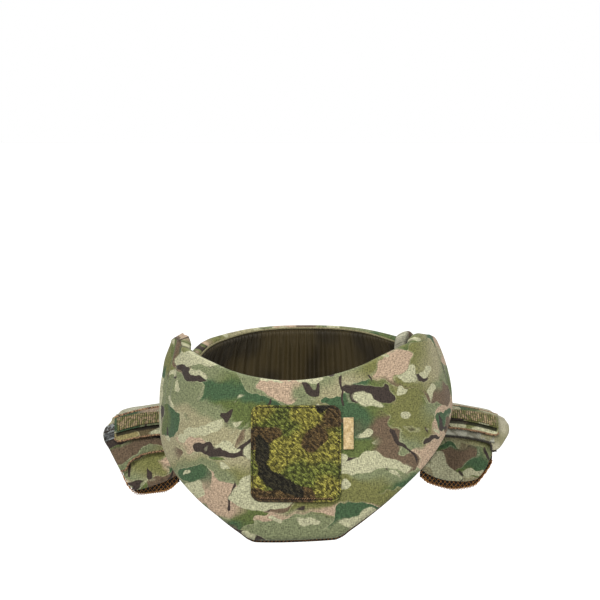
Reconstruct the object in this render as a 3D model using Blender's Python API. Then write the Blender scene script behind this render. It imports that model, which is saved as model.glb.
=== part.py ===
# Ballistic gorget: a padded throat bib, a padded nape collar and two shoulder wings.
# Metres. +Z up, the throat faces -Y. The origin is on the neck's axis, where the collar sits.

import math

import bmesh
import bpy
from mathutils import Vector

# The ring that the bib and the collar follow, measured on the bib's outer face
RING_HALF_WIDTH = 0.1332        # widest half width, at RING_WIDEST_Z
RING_WIDEST_Z = 0.012
RING_TOP_TAPER = 0.0175         # what the half width loses up to the collar's rim
RING_TOP_CURVE = 2.6            # power of that loss: high keeps it near the rim
RING_BOTTOM_TAPER = 0.002       # what it loses down to the bib's hem
RING_SQUARENESS = 2.4           # 2 is an ellipse, more is squarer
THROAT_DEPTH = 0.104            # front reach from the axis, at the throat's edge
CHEST_DEPTH = 0.134             # front reach at the bib's hem
NAPE_DEPTH = 0.104              # back reach from the axis at the collar's rim
BACK_FLARE = 0.026              # how much further the skirt reaches at its hem

# Heights above the origin
THROAT_Z = 0.0684               # middle of the bib's top edge
CORNER_Z = 0.0998               # the bib's top corners
HEM_Z = -0.0663                 # the bib's hem
NAPE_Z = 0.097                  # the collar's rim at the back
SKIRT_Z = -0.048                # the collar's hem at the back

# Walls and the gaps between pieces
BIB_WALL = 0.011
COLLAR_WALL = 0.009
MESH_WALL = 0.003
LINING_WALL = 0.0012
CLOSURE_WALL = 0.002
SEAM_GAP = 0.0003
CLOSURE_GAP = 0.0007            # between the bib's inner face and the closure strips
LINING_GAP = 0.0006
BIB_RIM = 0.0038                # rounding of the bib's rim
COLLAR_RIM = 0.0034

# Steps of the grids that the walls are made of
BIB_ROWS = 10
BIB_MESH_ROWS = 5
COLLAR_ROWS = 6
COLLAR_STEPS = 36
CLOSURE_STEPS = 4
PATCH_ROWS = 8
LABEL_ROWS = 3
LABEL_STEPS = 2
GATHER_STEPS = 4                # for each gather
SHARP_ANGLE = 50.0              # degrees; flatter edges are shaded smooth

# Reaches round the neck, in degrees. The bib is worn a little askew on the collar
BIB_REACH = 90.0                # each way from the bib's own middle
BIB_TURN = -4.5                 # where that middle stands, from the throat
BIB_TILT = 0.040                # rise of the bib's edges for each unit towards +X
MESH_SHORT = 0.0012             # how far the mesh stops short of the bib's outer hem
COLLAR_FRONT = 60.0             # where the collar's ends stand, from the throat
COLLAR_LEAN = 0.0045            # how much the collar's rim leans in
COLLAR_LEAN_CURVE = 1.5         # power of that lean above the closure strips
COLLAR_CLEAR = 1.0              # from a collar end to the mesh, and to the closure strip
CLOSURE_SPAN = 13.5
CLOSURE_LOW = 0.028
CLOSURE_HIGH = 0.060

# The collar's lining and its gathers
LINING_SHORT = 3.0              # degrees kept back from the collar's ends
GATHER_DEPTH = 0.0016
GATHER_COUNT = 18

# Loop patch and side label on the bib
PATCH_WIDTH = 0.0775
PATCH_HEIGHT = 0.0815
PATCH_LOW = -0.0355             # height of the patch's lower edge
PATCH_WALL = 0.0024
PATCH_CORNER = 0.008
LABEL_WIDTH = 0.0088
LABEL_STEP = 0.0018             # between the patch's side and the label
LABEL_HEIGHT = 0.027
LABEL_TOP_DROP = 0.0105         # from the patch's top edge down to the label's
LABEL_WALL = 0.001

# Shoulder wings: an arch over the shoulder, drooping outwards. Drops are measured
# down from the arch's ridge
WING_Y = 0.064                  # the arch's ridge, behind the neck's axis
WING_RIDGE_Z = 0.0195           # ridge height at WING_ROOT_X
WING_ROOT_X = 0.133
WING_SLOPE = 4.0                # degrees, at WING_ROOT_X
WING_DROOP = 3.0                # extra droop for each squared metre further out
WING_FRONT_REACH = 0.044
WING_BACK_REACH = 0.046
WING_FRONT_DROP = 0.0725        # to the hem of the mesh under the pad
WING_BACK_DROP = 0.052
PAD_BACK_SHARE = 0.86           # how much of the back leg the pad covers
WING_SQUARENESS = 2.3
WING_INNER = 0.080              # least distance of a wing from the middle plane
WING_END = 0.1745               # the pad's outer end
WING_LEAN = 0.10                # how much the end draws in for each unit of drop
WING_ROOT_GAP = 0.0011
PAD_WALL = 0.008
PAD_RIM = 0.0028
WING_MESH_WALL = 0.004
WING_MESH_REVEAL = 0.0075       # how far the mesh shows below the pad
WING_MESH_SIDE = 0.0015         # and past its outer end
LAYER_GAP = 0.0005

# Layers that lie on the wing's pad
STRAP_WALL = 0.0026
STRAP_END = 0.1870
STRAP_DROP = 0.046
STRAP_BACK_DROP = 0.030
STRAP_LIFT = 0.0026             # how far its front hem stands off the pad
FLAP_WALL = 0.002
FLAP_END = 0.1765
FLAP_DROP = 0.023
FLAP_BACK_DROP = 0.022
FLAP_LIFT = 0.0024
BAND_WALL = 0.0016
BAND_FROM = 0.0025              # the webbing band's edges, as drops from the ridge
BAND_TO = 0.0165
BAND_INSET = 0.003              # from the flap's outer end

# Outline of the bib, from its middle at 0 to its end at 1
BIB_HEM = (                     # angle share, share of the way from HEM_Z to CORNER_Z
    (0.000, 0.000), (0.165, 0.002), (0.200, 0.015), (0.235, 0.042), (0.278, 0.072),
    (0.350, 0.123), (0.441, 0.186), (0.519, 0.243), (0.589, 0.292), (0.661, 0.345),
    (0.738, 0.401), (0.780, 0.432), (0.880, 0.520), (0.950, 0.600), (1.000, 0.700),
)
BIB_TOP = (                     # angle share, share of the way from THROAT_Z to CORNER_Z
    (0.00, 0.000), (0.08, 0.016), (0.23, 0.140), (0.345, 0.302), (0.459, 0.528),
    (0.573, 0.721), (0.67, 0.870), (0.78, 0.985), (0.86, 1.000), (0.93, 0.985),
    (0.97, 0.940), (1.00, 0.840),
)
BIB_COLUMNS = (
    0.0, 0.08, 0.16, 0.195, 0.23, 0.28, 0.35, 0.43, 0.51, 0.59, 0.66, 0.73, 0.80,
    0.86, 0.91, 0.95, 0.98, 1.0,
)
# Outline of the collar, from its front end at 0 to the nape at 1
COLLAR_TOP = (                  # angle share, height share of NAPE_Z
    (0.00, 0.670), (0.10, 0.690), (0.24, 0.760), (0.30, 0.840), (0.36, 0.930),
    (0.42, 0.980), (0.50, 1.000), (1.00, 1.000),
)
COLLAR_HEM = (                  # angle share, height share of SKIRT_Z
    (0.00, -0.420), (0.06, -0.160), (0.15, 0.000), (0.30, 0.080), (0.50, 0.330),
    (0.75, 0.850), (1.00, 1.000),
)
# Outline of a wing, from its root at 0 to its outer end at 1
TONGUE_HEM = (                  # width share, share of the layer's drop
    (0.00, 0.86), (0.09, 0.925), (0.26, 0.972), (0.48, 1.00), (0.70, 0.975),
    (0.86, 0.90), (0.95, 0.82), (1.00, 0.72),
)
STRAP_HEM = (
    (0.00, 0.73), (0.50, 0.75), (0.80, 0.86), (0.93, 0.98), (1.00, 0.97),
)
FLAP_HEM = (
    (0.00, 1.00), (0.85, 1.00), (0.96, 0.95), (1.00, 0.80),
)
STRAP_SIDE = (                  # drop share, share of STRAP_END
    (-1.00, 0.900), (0.00, 0.955), (0.10, 0.985), (0.20, 1.000), (0.30, 0.995),
    (0.50, 0.968), (0.75, 0.938), (1.00, 0.908),
)
PAD_COLUMNS = (0.0, 0.09, 0.22, 0.38, 0.55, 0.72, 0.86, 0.95, 1.0)
LAYER_COLUMNS = (0.0, 0.22, 0.46, 0.70, 0.86, 0.95, 1.0)
# Share of a layer's least drop where its last row before the hem stands
FLAP_LAST_ROW = 0.86
STRAP_LAST_ROW = 0.90
PAD_LAST_ROW = 0.92
TOP_ROWS = 3                    # rows of each leg that all the layers share

# Colours: red, green, blue, roughness
CAMO = (0.22, 0.22, 0.13, 0.9)
LINING = (0.045, 0.043, 0.022, 0.6)
COYOTE = (0.14, 0.075, 0.03, 0.9)
LOOP = (0.12, 0.13, 0.035, 0.95)
LABEL = (0.55, 0.45, 0.26, 0.7)
WEBBING = (0.15, 0.14, 0.08, 0.8)


def clear_scene():
    for item in list(bpy.data.objects):
        bpy.data.objects.remove(item, do_unlink=True)


def material(name, look):
    """A Principled material with the given colour and roughness."""
    made = bpy.data.materials.get(name)
    if made:
        return made
    made = bpy.data.materials.new(name)
    made.use_nodes = True
    shader = made.node_tree.nodes["Principled BSDF"]
    shader.inputs["Base Color"].default_value = (*look[:3], 1)
    shader.inputs["Roughness"].default_value = look[3]
    return made


def smooth(rows, x):
    """Value at x of the smooth line through a table's rows, with no overshoot."""
    if x <= rows[0][0]:
        return rows[0][1]
    for k in range(len(rows) - 1):
        if x <= rows[k + 1][0]:
            break
    slopes = [
        (b[1] - a[1]) / (b[0] - a[0]) for a, b in zip(rows, rows[1:])
    ]

    def tangent(n):
        if n == 0:
            return 0.0
        if n == len(rows) - 1:
            return slopes[-1]
        before, after = slopes[n - 1], slopes[n]
        if before * after <= 0:
            return 0.0
        return 2 * before * after / (before + after)

    (x0, y0), (x1, y1) = rows[k], rows[k + 1]
    width = x1 - x0
    t = min(1.0, (x - x0) / width)
    return (
        (2 * t**3 - 3 * t**2 + 1) * y0
        + (t**3 - 2 * t**2 + t) * width * tangent(k)
        + (3 * t**2 - 2 * t**3) * y1
        + (t**3 - t**2) * width * tangent(k + 1)
    )


def spread(low, high, count):
    """count + 1 even steps from low to high."""
    return [low + (high - low) * k / count for k in range(count + 1)]


# The ring


def half_width(z):
    above = (z - RING_WIDEST_Z) / (NAPE_Z - RING_WIDEST_Z)
    below = (RING_WIDEST_Z - z) / (RING_WIDEST_Z - HEM_Z)
    if z > RING_WIDEST_Z:
        return RING_HALF_WIDTH - RING_TOP_TAPER * above**RING_TOP_CURVE
    return RING_HALF_WIDTH - RING_BOTTOM_TAPER * below**2


def front_depth(z):
    share = (z - HEM_Z) / (THROAT_Z - HEM_Z)
    return CHEST_DEPTH + (THROAT_DEPTH - CHEST_DEPTH) * share


def back_depth(z):
    share = max(0.0, (NAPE_Z - z) / (NAPE_Z - SKIRT_Z))
    return NAPE_DEPTH + BACK_FLARE * share**2


def on_ring(angle, z):
    """Point of the ring's outer face; angle in degrees from the throat towards +X."""
    turn = math.radians(angle)
    across, ahead = math.sin(turn), math.cos(turn)
    depth = front_depth(z) if ahead > 0 else back_depth(z)
    power = RING_SQUARENESS
    sum_of_powers = abs(across / half_width(z))**power + abs(ahead / depth)**power
    reach = sum_of_powers**(-1 / power)
    return Vector((reach * across, -reach * ahead, z))


def in_ring(angle, z, inset):
    """Point inset from the ring's outer face along its normal."""
    step_angle, step_z = 0.25, 0.0005
    round_way = on_ring(angle + step_angle, z) - on_ring(angle - step_angle, z)
    up_way = on_ring(angle, z + step_z) - on_ring(angle, z - step_z)
    outward = round_way.cross(up_way).normalized()
    return on_ring(angle, z) - outward * inset


# Outlines


def bib_share(angle):
    return abs(angle - BIB_TURN) / BIB_REACH


def bib_tilt(angle):
    return BIB_TILT * RING_HALF_WIDTH * math.sin(math.radians(angle))


def bib_hem(angle):
    share = smooth(BIB_HEM, bib_share(angle))
    return HEM_Z + (CORNER_Z - HEM_Z) * share + bib_tilt(angle)


def bib_top(angle):
    share = smooth(BIB_TOP, bib_share(angle))
    return THROAT_Z + (CORNER_Z - THROAT_Z) * share + bib_tilt(angle)


def bib_angles(reach=BIB_REACH):
    """Angles of the bib's columns, out to a reach each way from its middle."""
    steps = [share * BIB_REACH for share in BIB_COLUMNS if share * BIB_REACH < reach]
    steps.append(reach)
    return [BIB_TURN - step for step in steps[:0:-1]] + [BIB_TURN + step for step in steps]


def collar_share(angle):
    return 1 - abs(180 - angle) / (180 - COLLAR_FRONT)


def collar_top(angle):
    return NAPE_Z * smooth(COLLAR_TOP, collar_share(angle))


def collar_hem(angle):
    return SKIRT_Z * smooth(COLLAR_HEM, collar_share(angle))


CLOSURE_INSET = BIB_WALL + CLOSURE_GAP


def collar_inset(z):
    """How far the collar's outer face stands inside the ring: more towards its rim."""
    share = max(0.0, (z - CLOSURE_HIGH) / (NAPE_Z - CLOSURE_HIGH))
    return CLOSURE_INSET + CLOSURE_WALL + SEAM_GAP + COLLAR_LEAN * share**COLLAR_LEAN_CURVE


# Solids


def solid_between(name, outer, inner, look, rim=0.0):
    """One closed wall between two grids of points, with its rim rounded by this radius."""
    mesh = bmesh.new()
    skins = [[[mesh.verts.new(p) for p in line] for line in grid] for grid in (outer, inner)]
    columns, rows = len(outer), len(outer[0])
    for skin in skins:
        for i in range(columns - 1):
            for j in range(rows - 1):
                corners = (skin[i][j], skin[i + 1][j], skin[i + 1][j + 1], skin[i][j + 1])
                mesh.faces.new(corners)
    border = [(i, 0) for i in range(columns)]
    border += [(columns - 1, j) for j in range(1, rows)]
    border += [(i, rows - 1) for i in range(columns - 2, -1, -1)]
    border += [(0, j) for j in range(rows - 2, 0, -1)]
    for (i, j), (m, n) in zip(border, border[1:] + border[:1]):
        mesh.faces.new((skins[0][i][j], skins[0][m][n], skins[1][m][n], skins[1][i][j]))
    bmesh.ops.recalc_face_normals(mesh, faces=mesh.faces[:])
    if rim:
        edges = []
        for skin in skins:
            for (i, j), (m, n) in zip(border, border[1:] + border[:1]):
                edges.append(mesh.edges.get((skin[i][j], skin[m][n])))
        bmesh.ops.bevel(
            mesh, geom=edges, offset=rim, offset_type="OFFSET", segments=2,
            profile=0.5, affect="EDGES", clamp_overlap=True,
        )
    data = bpy.data.meshes.new(name)
    mesh.to_mesh(data)
    mesh.free()
    data.shade_smooth()
    data.set_sharp_from_angle(angle=math.radians(SHARP_ANGLE))
    made = bpy.data.objects.new(name, data)
    bpy.context.scene.collection.objects.link(made)
    made.data.materials.append(material(*look))
    return made


def ring_wall(name, angles, heights, insets, look, rim=0.0):
    """A wall of the ring; heights and insets are functions of the angle."""
    grids = []
    for inset in insets:
        grid = []
        for angle in angles:
            grid.append([in_ring(angle, z, inset(angle, z)) for z in heights(angle)])
        grids.append(grid)
    return solid_between(name, grids[0], grids[1], look, rim)


def make_bib():
    ring_wall(
        "front_bib", bib_angles(), lambda angle: spread(bib_hem(angle), bib_top(angle), BIB_ROWS),
        (lambda angle, z: 0.0, lambda angle, z: BIB_WALL), ("camo_fabric", CAMO), BIB_RIM,
    )


def make_bib_mesh():
    inset = BIB_WALL + SEAM_GAP
    reach = COLLAR_FRONT - abs(BIB_TURN) - COLLAR_CLEAR

    def heights(angle):
        return spread(bib_hem(angle) + MESH_SHORT, bib_top(angle) - BIB_RIM, BIB_MESH_ROWS)

    ring_wall(
        "bib_mesh_backing", bib_angles(reach), heights,
        (lambda angle, z: inset, lambda angle, z: inset + MESH_WALL),
        ("coyote_mesh", COYOTE),
    )


def collar_heights(angle):
    return spread(collar_hem(angle), collar_top(angle), COLLAR_ROWS)


def make_collar():
    ring_wall(
        "nape_collar", spread(COLLAR_FRONT, 360 - COLLAR_FRONT, COLLAR_STEPS), collar_heights,
        (lambda angle, z: collar_inset(z), lambda angle, z: collar_inset(z) + COLLAR_WALL),
        ("camo_fabric", CAMO), COLLAR_RIM,
    )


def make_lining():
    """The collar's lining, gathered into upright folds."""

    def heights(angle):
        rows = collar_heights(angle)
        return [rows[0] + COLLAR_RIM] + rows[1:-1] + [rows[-1] - COLLAR_RIM]

    def outer(angle, z):
        return collar_inset(z) + COLLAR_WALL + LINING_GAP

    def folded(angle, z):
        turn = math.pi * GATHER_COUNT * collar_share(angle)
        return outer(angle, z) + LINING_WALL + GATHER_DEPTH * (0.5 - 0.5 * math.cos(turn))

    ends = COLLAR_FRONT + LINING_SHORT
    ring_wall(
        "collar_lining", spread(ends, 360 - ends, GATHER_STEPS * GATHER_COUNT), heights,
        (outer, folded), ("olive_lining", LINING),
    )


def make_closures():
    """Hook and loop between each end of the bib and the collar inside it."""
    start = COLLAR_FRONT + abs(BIB_TURN) + COLLAR_CLEAR
    for side_name, side in (("right", 1), ("left", -1)):
        ring_wall(
            "closure_strip_" + side_name,
            [BIB_TURN + side * step for step in spread(start, start + CLOSURE_SPAN, CLOSURE_STEPS)],
            lambda angle: spread(CLOSURE_LOW, CLOSURE_HIGH, CLOSURE_STEPS),
            (lambda angle, z: CLOSURE_INSET, lambda angle, z: CLOSURE_INSET + CLOSURE_WALL),
            ("olive_lining", LINING),
        )


def angle_at(x, z):
    """Angle whose point on the front of the ring has this x."""
    low, high = -80.0, 80.0
    for _ in range(40):
        middle = (low + high) / 2
        if on_ring(middle, z).x < x:
            low = middle
        else:
            high = middle
    return (low + high) / 2


def front_plate(name, x_steps, low, high, rows, wall, look, corner=0.0):
    """A thin piece sewn on the bib's front, with its corners rounded by this radius."""
    left, right = x_steps[0], x_steps[-1]
    grids = []
    for inset in (-SEAM_GAP - wall, -SEAM_GAP):
        grid = []
        for x in x_steps:
            near = min(x - left, right - x)
            cut = 0.0
            if near < corner:
                cut = corner - math.sqrt(corner**2 - (corner - near)**2)
            heights = spread(low + cut, high - cut, rows)
            grid.append([in_ring(angle_at(x, z), z, inset) for z in heights])
        grids.append(grid)
    return solid_between(name, grids[0], grids[1], look)


def patch_middle():
    return on_ring(BIB_TURN, PATCH_LOW + PATCH_HEIGHT / 2).x


def make_patch():
    half, bend = PATCH_WIDTH / 2, PATCH_CORNER
    outward = [half, half - 0.25 * bend, half - bend, half / 3]
    steps = [patch_middle() + x for x in [-x for x in outward] + outward[::-1]]
    front_plate(
        "loop_patch", steps, PATCH_LOW, PATCH_LOW + PATCH_HEIGHT, PATCH_ROWS,
        PATCH_WALL, ("loop_pile", LOOP), bend,
    )


def make_label():
    left = patch_middle() + PATCH_WIDTH / 2 + LABEL_STEP
    top = PATCH_LOW + PATCH_HEIGHT - LABEL_TOP_DROP
    front_plate(
        "side_label", spread(left, left + LABEL_WIDTH, LABEL_STEPS), top - LABEL_HEIGHT, top,
        LABEL_ROWS, LABEL_WALL, ("woven_label", LABEL),
    )


# The shoulder wings


def collar_side(y, z, clear):
    """Half width of the collar's outer face at this y and height, plus a clearance."""
    inset = collar_inset(z)
    low, high = 70.0, 179.0
    for _ in range(30):
        middle = (low + high) / 2
        if in_ring(middle, z, inset).y < y:
            low = middle
        else:
            high = middle
    return in_ring((low + high) / 2, z, inset).x + clear


def ridge_z(x):
    out = x - WING_ROOT_X
    fall = out * math.tan(math.radians(WING_SLOPE))
    return WING_RIDGE_Z - fall - WING_DROOP * max(0.0, out)**2


def arch(share):
    """Reach and drop of the arch: -1 is the end of the back leg, 1 of the front leg."""
    reach, drop = WING_FRONT_REACH, WING_FRONT_DROP
    if share < 0:
        reach, drop = -WING_BACK_REACH, WING_BACK_DROP
    power = 2 / WING_SQUARENESS
    turn = min(1.0, abs(share)) * math.pi / 2
    return reach * math.sin(turn)**power, drop * (1 - math.cos(turn)**power)


def share_for(drop, whole):
    """Place on a leg of the arch, from 0 to 1, of a drop; whole is the leg's drop."""
    rest = min(1.0, max(0.0, 1 - drop / whole))
    return math.acos(rest**(WING_SQUARENESS / 2)) / (math.pi / 2)


def on_wing(x, share, out):
    """Point of the wing's arch, out from the pad's outer face."""

    def face(x, share):
        reach, drop = arch(share)
        return Vector((x, WING_Y - reach, ridge_z(x) - drop))

    step = 0.01
    place = max(-1 + step, min(1 - step, share))
    across = face(x + step, share) - face(x - step, share)
    along = face(x, place + step) - face(x, place - step)
    return face(x, share) + along.cross(across).normalized() * out


def ease(t):
    """Rises smoothly from 0 to 1."""
    t = min(1.0, max(0.0, t))
    return t * t * (3 - 2 * t)


STRAP_PLACE = share_for(STRAP_DROP, WING_FRONT_DROP)
FLAP_PLACE = share_for(FLAP_DROP, WING_FRONT_DROP)


def strap_out(place):
    """How far out from the pad the strap's under side lies."""
    return LAYER_GAP + STRAP_LIFT * ease(place / STRAP_PLACE)


def flap_out(place):
    return strap_out(place) + STRAP_WALL + LAYER_GAP + FLAP_LIFT * ease(place / FLAP_PLACE)


def band_out(place):
    return flap_out(place) + FLAP_WALL + LAYER_GAP


def wall_on(under, wall):
    """The outer and inner face of a layer with this wall, from its under side."""
    return lambda place: under(place) + wall, under


# Rows across the arch. A layer keeps the rows of the one below it, so they nest


def least(hem, drop, whole):
    """Place on a leg where a layer's hem stands highest."""
    return share_for(drop * min(share for _, share in hem), whole)


def leg_rows(drops, whole):
    """Row places down one leg for the flap, the strap and the pad, before their hems."""
    flap = FLAP_LAST_ROW * least(FLAP_HEM, drops[0], whole)
    strap = STRAP_LAST_ROW * least(STRAP_HEM, drops[1], whole)
    pad = PAD_LAST_ROW * least(TONGUE_HEM, drops[2], whole)
    top = spread(0.0, flap, TOP_ROWS)
    return top, top + [strap], top + [strap, pad]


PAD_DROPS = (WING_FRONT_DROP - WING_MESH_REVEAL, PAD_BACK_SHARE * WING_BACK_DROP)
FRONT_ROWS = leg_rows((FLAP_DROP, STRAP_DROP, PAD_DROPS[0]), WING_FRONT_DROP)
BACK_ROWS = leg_rows((FLAP_BACK_DROP, STRAP_BACK_DROP, PAD_DROPS[1]), WING_BACK_DROP)


def wing_rows(layer, hem, drops, u, between=0):
    """Places of a layer's rows at a width share, from the back hem to the front hem."""
    legs = []
    for rows, drop, whole in (
        (BACK_ROWS[layer], drops[1], WING_BACK_DROP),
        (FRONT_ROWS[layer], drops[0], WING_FRONT_DROP),
    ):
        end = share_for(drop * smooth(hem, u), whole)
        legs.append(rows + spread(rows[-1], end, between + 1)[1:])
    return [-place for place in legs[0][:0:-1]] + legs[1]


def wing_point(u, place, out, end_at):
    """Point at a width share between the collar's side and the layer's outer end."""
    start = WING_INNER
    for _ in range(5):
        near = on_wing(start, place, out)
        start += max(WING_INNER, collar_side(near.y, near.z, WING_ROOT_GAP)) - near.x
    end = end_at(math.copysign(arch(place)[1], place))
    return on_wing(start + (end - start) * u, place, out)


def wing_layer(name, side, columns, rows_at, end_at, faces, look, rim=0.0):
    """A layer of one wing, between its outer and inner face."""
    grids = []
    for out in faces:
        grid = []
        for u in columns:
            line = [wing_point(u, place, out(place), end_at) for place in rows_at(u)]
            grid.append([Vector((side * p.x, p.y, p.z)) for p in line])
        grids.append(grid)
    return solid_between(name, grids[0], grids[1], look, rim)


def pad_end(drop):
    return WING_END - WING_LEAN * max(0.0, drop)


def mesh_end(drop):
    return pad_end(drop) + WING_MESH_SIDE


def strap_end(drop):
    whole = STRAP_DROP if drop > 0 else STRAP_BACK_DROP
    return STRAP_END * smooth(STRAP_SIDE, drop / whole)


def flap_end(drop):
    return FLAP_END - WING_LEAN * max(0.0, drop)


def make_wing(side_name, side):
    mesh_drops = (WING_FRONT_DROP, PAD_DROPS[1] + WING_MESH_SIDE)
    mesh_top = -PAD_WALL - LAYER_GAP
    wing_layer(
        "shoulder_pad_" + side_name, side, PAD_COLUMNS,
        lambda u: wing_rows(2, TONGUE_HEM, PAD_DROPS, u, 1), pad_end,
        (lambda place: 0.0, lambda place: -PAD_WALL), ("camo_fabric", CAMO), PAD_RIM,
    )
    wing_layer(
        "shoulder_mesh_" + side_name, side, PAD_COLUMNS,
        lambda u: wing_rows(2, TONGUE_HEM, mesh_drops, u), mesh_end,
        (lambda place: mesh_top, lambda place: mesh_top - WING_MESH_WALL),
        ("coyote_mesh", COYOTE),
    )
    wing_layer(
        "wrap_strap_" + side_name, side, LAYER_COLUMNS,
        lambda u: wing_rows(1, STRAP_HEM, (STRAP_DROP, STRAP_BACK_DROP), u), strap_end,
        wall_on(strap_out, STRAP_WALL), ("camo_fabric", CAMO),
    )
    wing_layer(
        "cover_flap_" + side_name, side, LAYER_COLUMNS,
        lambda u: wing_rows(0, FLAP_HEM, (FLAP_DROP, FLAP_BACK_DROP), u), flap_end,
        wall_on(flap_out, FLAP_WALL), ("camo_fabric", CAMO),
    )
    first, last = (share_for(drop, WING_FRONT_DROP) for drop in (BAND_FROM, BAND_TO))
    middle = [place for place in FRONT_ROWS[0] if first < place < last]
    wing_layer(
        "webbing_band_" + side_name, side, LAYER_COLUMNS,
        lambda u: [first] + middle + [last],
        lambda drop: flap_end(drop) - BAND_INSET,
        wall_on(band_out, BAND_WALL), ("olive_webbing", WEBBING),
    )


def build():
    clear_scene()
    make_bib()
    make_bib_mesh()
    make_collar()
    make_lining()
    make_closures()
    make_patch()
    make_label()
    for side_name, side in (("right", 1), ("left", -1)):
        make_wing(side_name, side)


build()
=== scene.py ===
import math

import bmesh
import bpy
import numpy as np
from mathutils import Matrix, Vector


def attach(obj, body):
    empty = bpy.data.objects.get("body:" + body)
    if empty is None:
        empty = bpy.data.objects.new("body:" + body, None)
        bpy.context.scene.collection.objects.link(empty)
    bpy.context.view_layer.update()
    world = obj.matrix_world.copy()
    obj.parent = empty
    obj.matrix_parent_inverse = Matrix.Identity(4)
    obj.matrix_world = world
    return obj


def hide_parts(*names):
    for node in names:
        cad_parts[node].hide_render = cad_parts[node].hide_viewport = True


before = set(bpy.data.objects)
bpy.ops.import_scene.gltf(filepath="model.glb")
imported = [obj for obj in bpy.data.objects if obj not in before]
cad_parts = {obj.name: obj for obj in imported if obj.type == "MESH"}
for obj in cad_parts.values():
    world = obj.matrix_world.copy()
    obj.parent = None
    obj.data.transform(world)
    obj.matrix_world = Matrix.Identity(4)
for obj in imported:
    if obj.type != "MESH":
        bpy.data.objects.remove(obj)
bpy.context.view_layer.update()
scene = bpy.context.scene
print("frame loaded:", len(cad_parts), "nodes")

# The ring round the neck has the same measures as in the CAD.

ring = {
    "halfWidth": 0.1332, "widestZ": 0.012, "topTaper": 0.0175, "topCurve": 2.6, "bottomTaper": 0.002,
    "square": 2.4, "throatDepth": 0.104, "chestDepth": 0.134, "napeDepth": 0.104, "backFlare": 0.026,
    "throatZ": 0.0684, "cornerZ": 0.0998, "hemZ": -0.0663, "napeZ": 0.097, "skirtZ": -0.048,
}


def smoothTable(rows, x):
    rows = np.array(rows, float)
    knots, values = rows[:, 0], rows[:, 1]
    slopes = np.diff(values) / np.diff(knots)
    tangents = np.zeros(len(rows))
    tangents[-1] = slopes[-1]
    for n in range(1, len(rows) - 1):
        if slopes[n - 1] * slopes[n] > 0:
            tangents[n] = 2 * slopes[n - 1] * slopes[n] / (slopes[n - 1] + slopes[n])
    x = np.clip(np.asarray(x, float), knots[0], knots[-1])
    k = np.clip(np.searchsorted(knots, x) - 1, 0, len(rows) - 2)
    width = knots[k + 1] - knots[k]
    t = (x - knots[k]) / width
    return (
        (2 * t**3 - 3 * t**2 + 1) * values[k] + (t**3 - 2 * t**2 + t) * width * tangents[k]
        + (3 * t**2 - 2 * t**3) * values[k + 1] + (t**3 - t**2) * width * tangents[k + 1]
    )


def ease(t):
    t = np.clip(t, 0, 1)
    return t * t * (3 - 2 * t)


def unit(v):
    return v / np.maximum(np.linalg.norm(v, axis=-1, keepdims=True), 1e-12)


def halfWidth(z):
    above = np.clip((z - ring["widestZ"]) / (ring["napeZ"] - ring["widestZ"]), 0, None)
    below = np.clip((ring["widestZ"] - z) / (ring["widestZ"] - ring["hemZ"]), 0, None)
    return ring["halfWidth"] - ring["topTaper"] * above**ring["topCurve"] - ring["bottomTaper"] * below**2


def onRing(angle, z):
    angle, z = np.broadcast_arrays(np.asarray(angle, float), np.asarray(z, float))
    across, ahead = np.sin(np.radians(angle)), np.cos(np.radians(angle))
    share = (z - ring["hemZ"]) / (ring["throatZ"] - ring["hemZ"])
    front = ring["chestDepth"] + (ring["throatDepth"] - ring["chestDepth"]) * share
    drop = np.clip((ring["napeZ"] - z) / (ring["napeZ"] - ring["skirtZ"]), 0, None)
    back = ring["napeDepth"] + ring["backFlare"] * drop**2
    depth = np.where(ahead > 0, front, back)
    power = ring["square"]
    reach = (np.abs(across / halfWidth(z))**power + np.abs(ahead / depth)**power)**(-1 / power)
    return np.stack([reach * across, -reach * ahead, z], -1)


def ringNormal(angle, z):
    roundWay = onRing(angle + 0.25, z) - onRing(angle - 0.25, z)
    upWay = onRing(angle, z + 0.0005) - onRing(angle, z - 0.0005)
    return unit(np.cross(roundWay, upWay))


def inRing(angle, z, inset):
    return onRing(angle, z) - ringNormal(angle, z) * np.asarray(inset)[..., None]


def arcLength(points):
    steps = np.linalg.norm(np.diff(points, axis=0), axis=-1)
    return np.concatenate([[0], np.cumsum(steps)])


def edgeSteps(total, fine, count):
    # places along a length, close together near both ends for a rounded rim
    fine = np.array(fine)
    middle = np.linspace(fine[-1], total - fine[-1], count)[1:-1]
    return np.concatenate([fine, middle, (total - fine)[::-1]])


def fineGrid(angle, low, high, own):
    # columns at these angles between two edges, with rows close together at both
    z = np.stack([a + edgeSteps(b - a, own["fine"], own["rows"]) for a, b in zip(low, high)])
    return np.repeat(angle[:, None], z.shape[1], 1), z


def evenGrid(angle, low, high, rows):
    z = low[:, None] + (high - low)[:, None] * np.linspace(0, 1, rows)
    return np.repeat(angle[:, None], rows, 1), z


def nearest(*distances):
    return np.minimum.reduce(np.broadcast_arrays(*distances))


def pillow(distance, radius):
    near = 1 - np.clip(distance / radius, 0, 1)
    return np.sqrt(np.clip(1 - near**2, 0, 1))


# Closed meshes: cloths from two grids, wrapped threads and short fibres.

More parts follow.
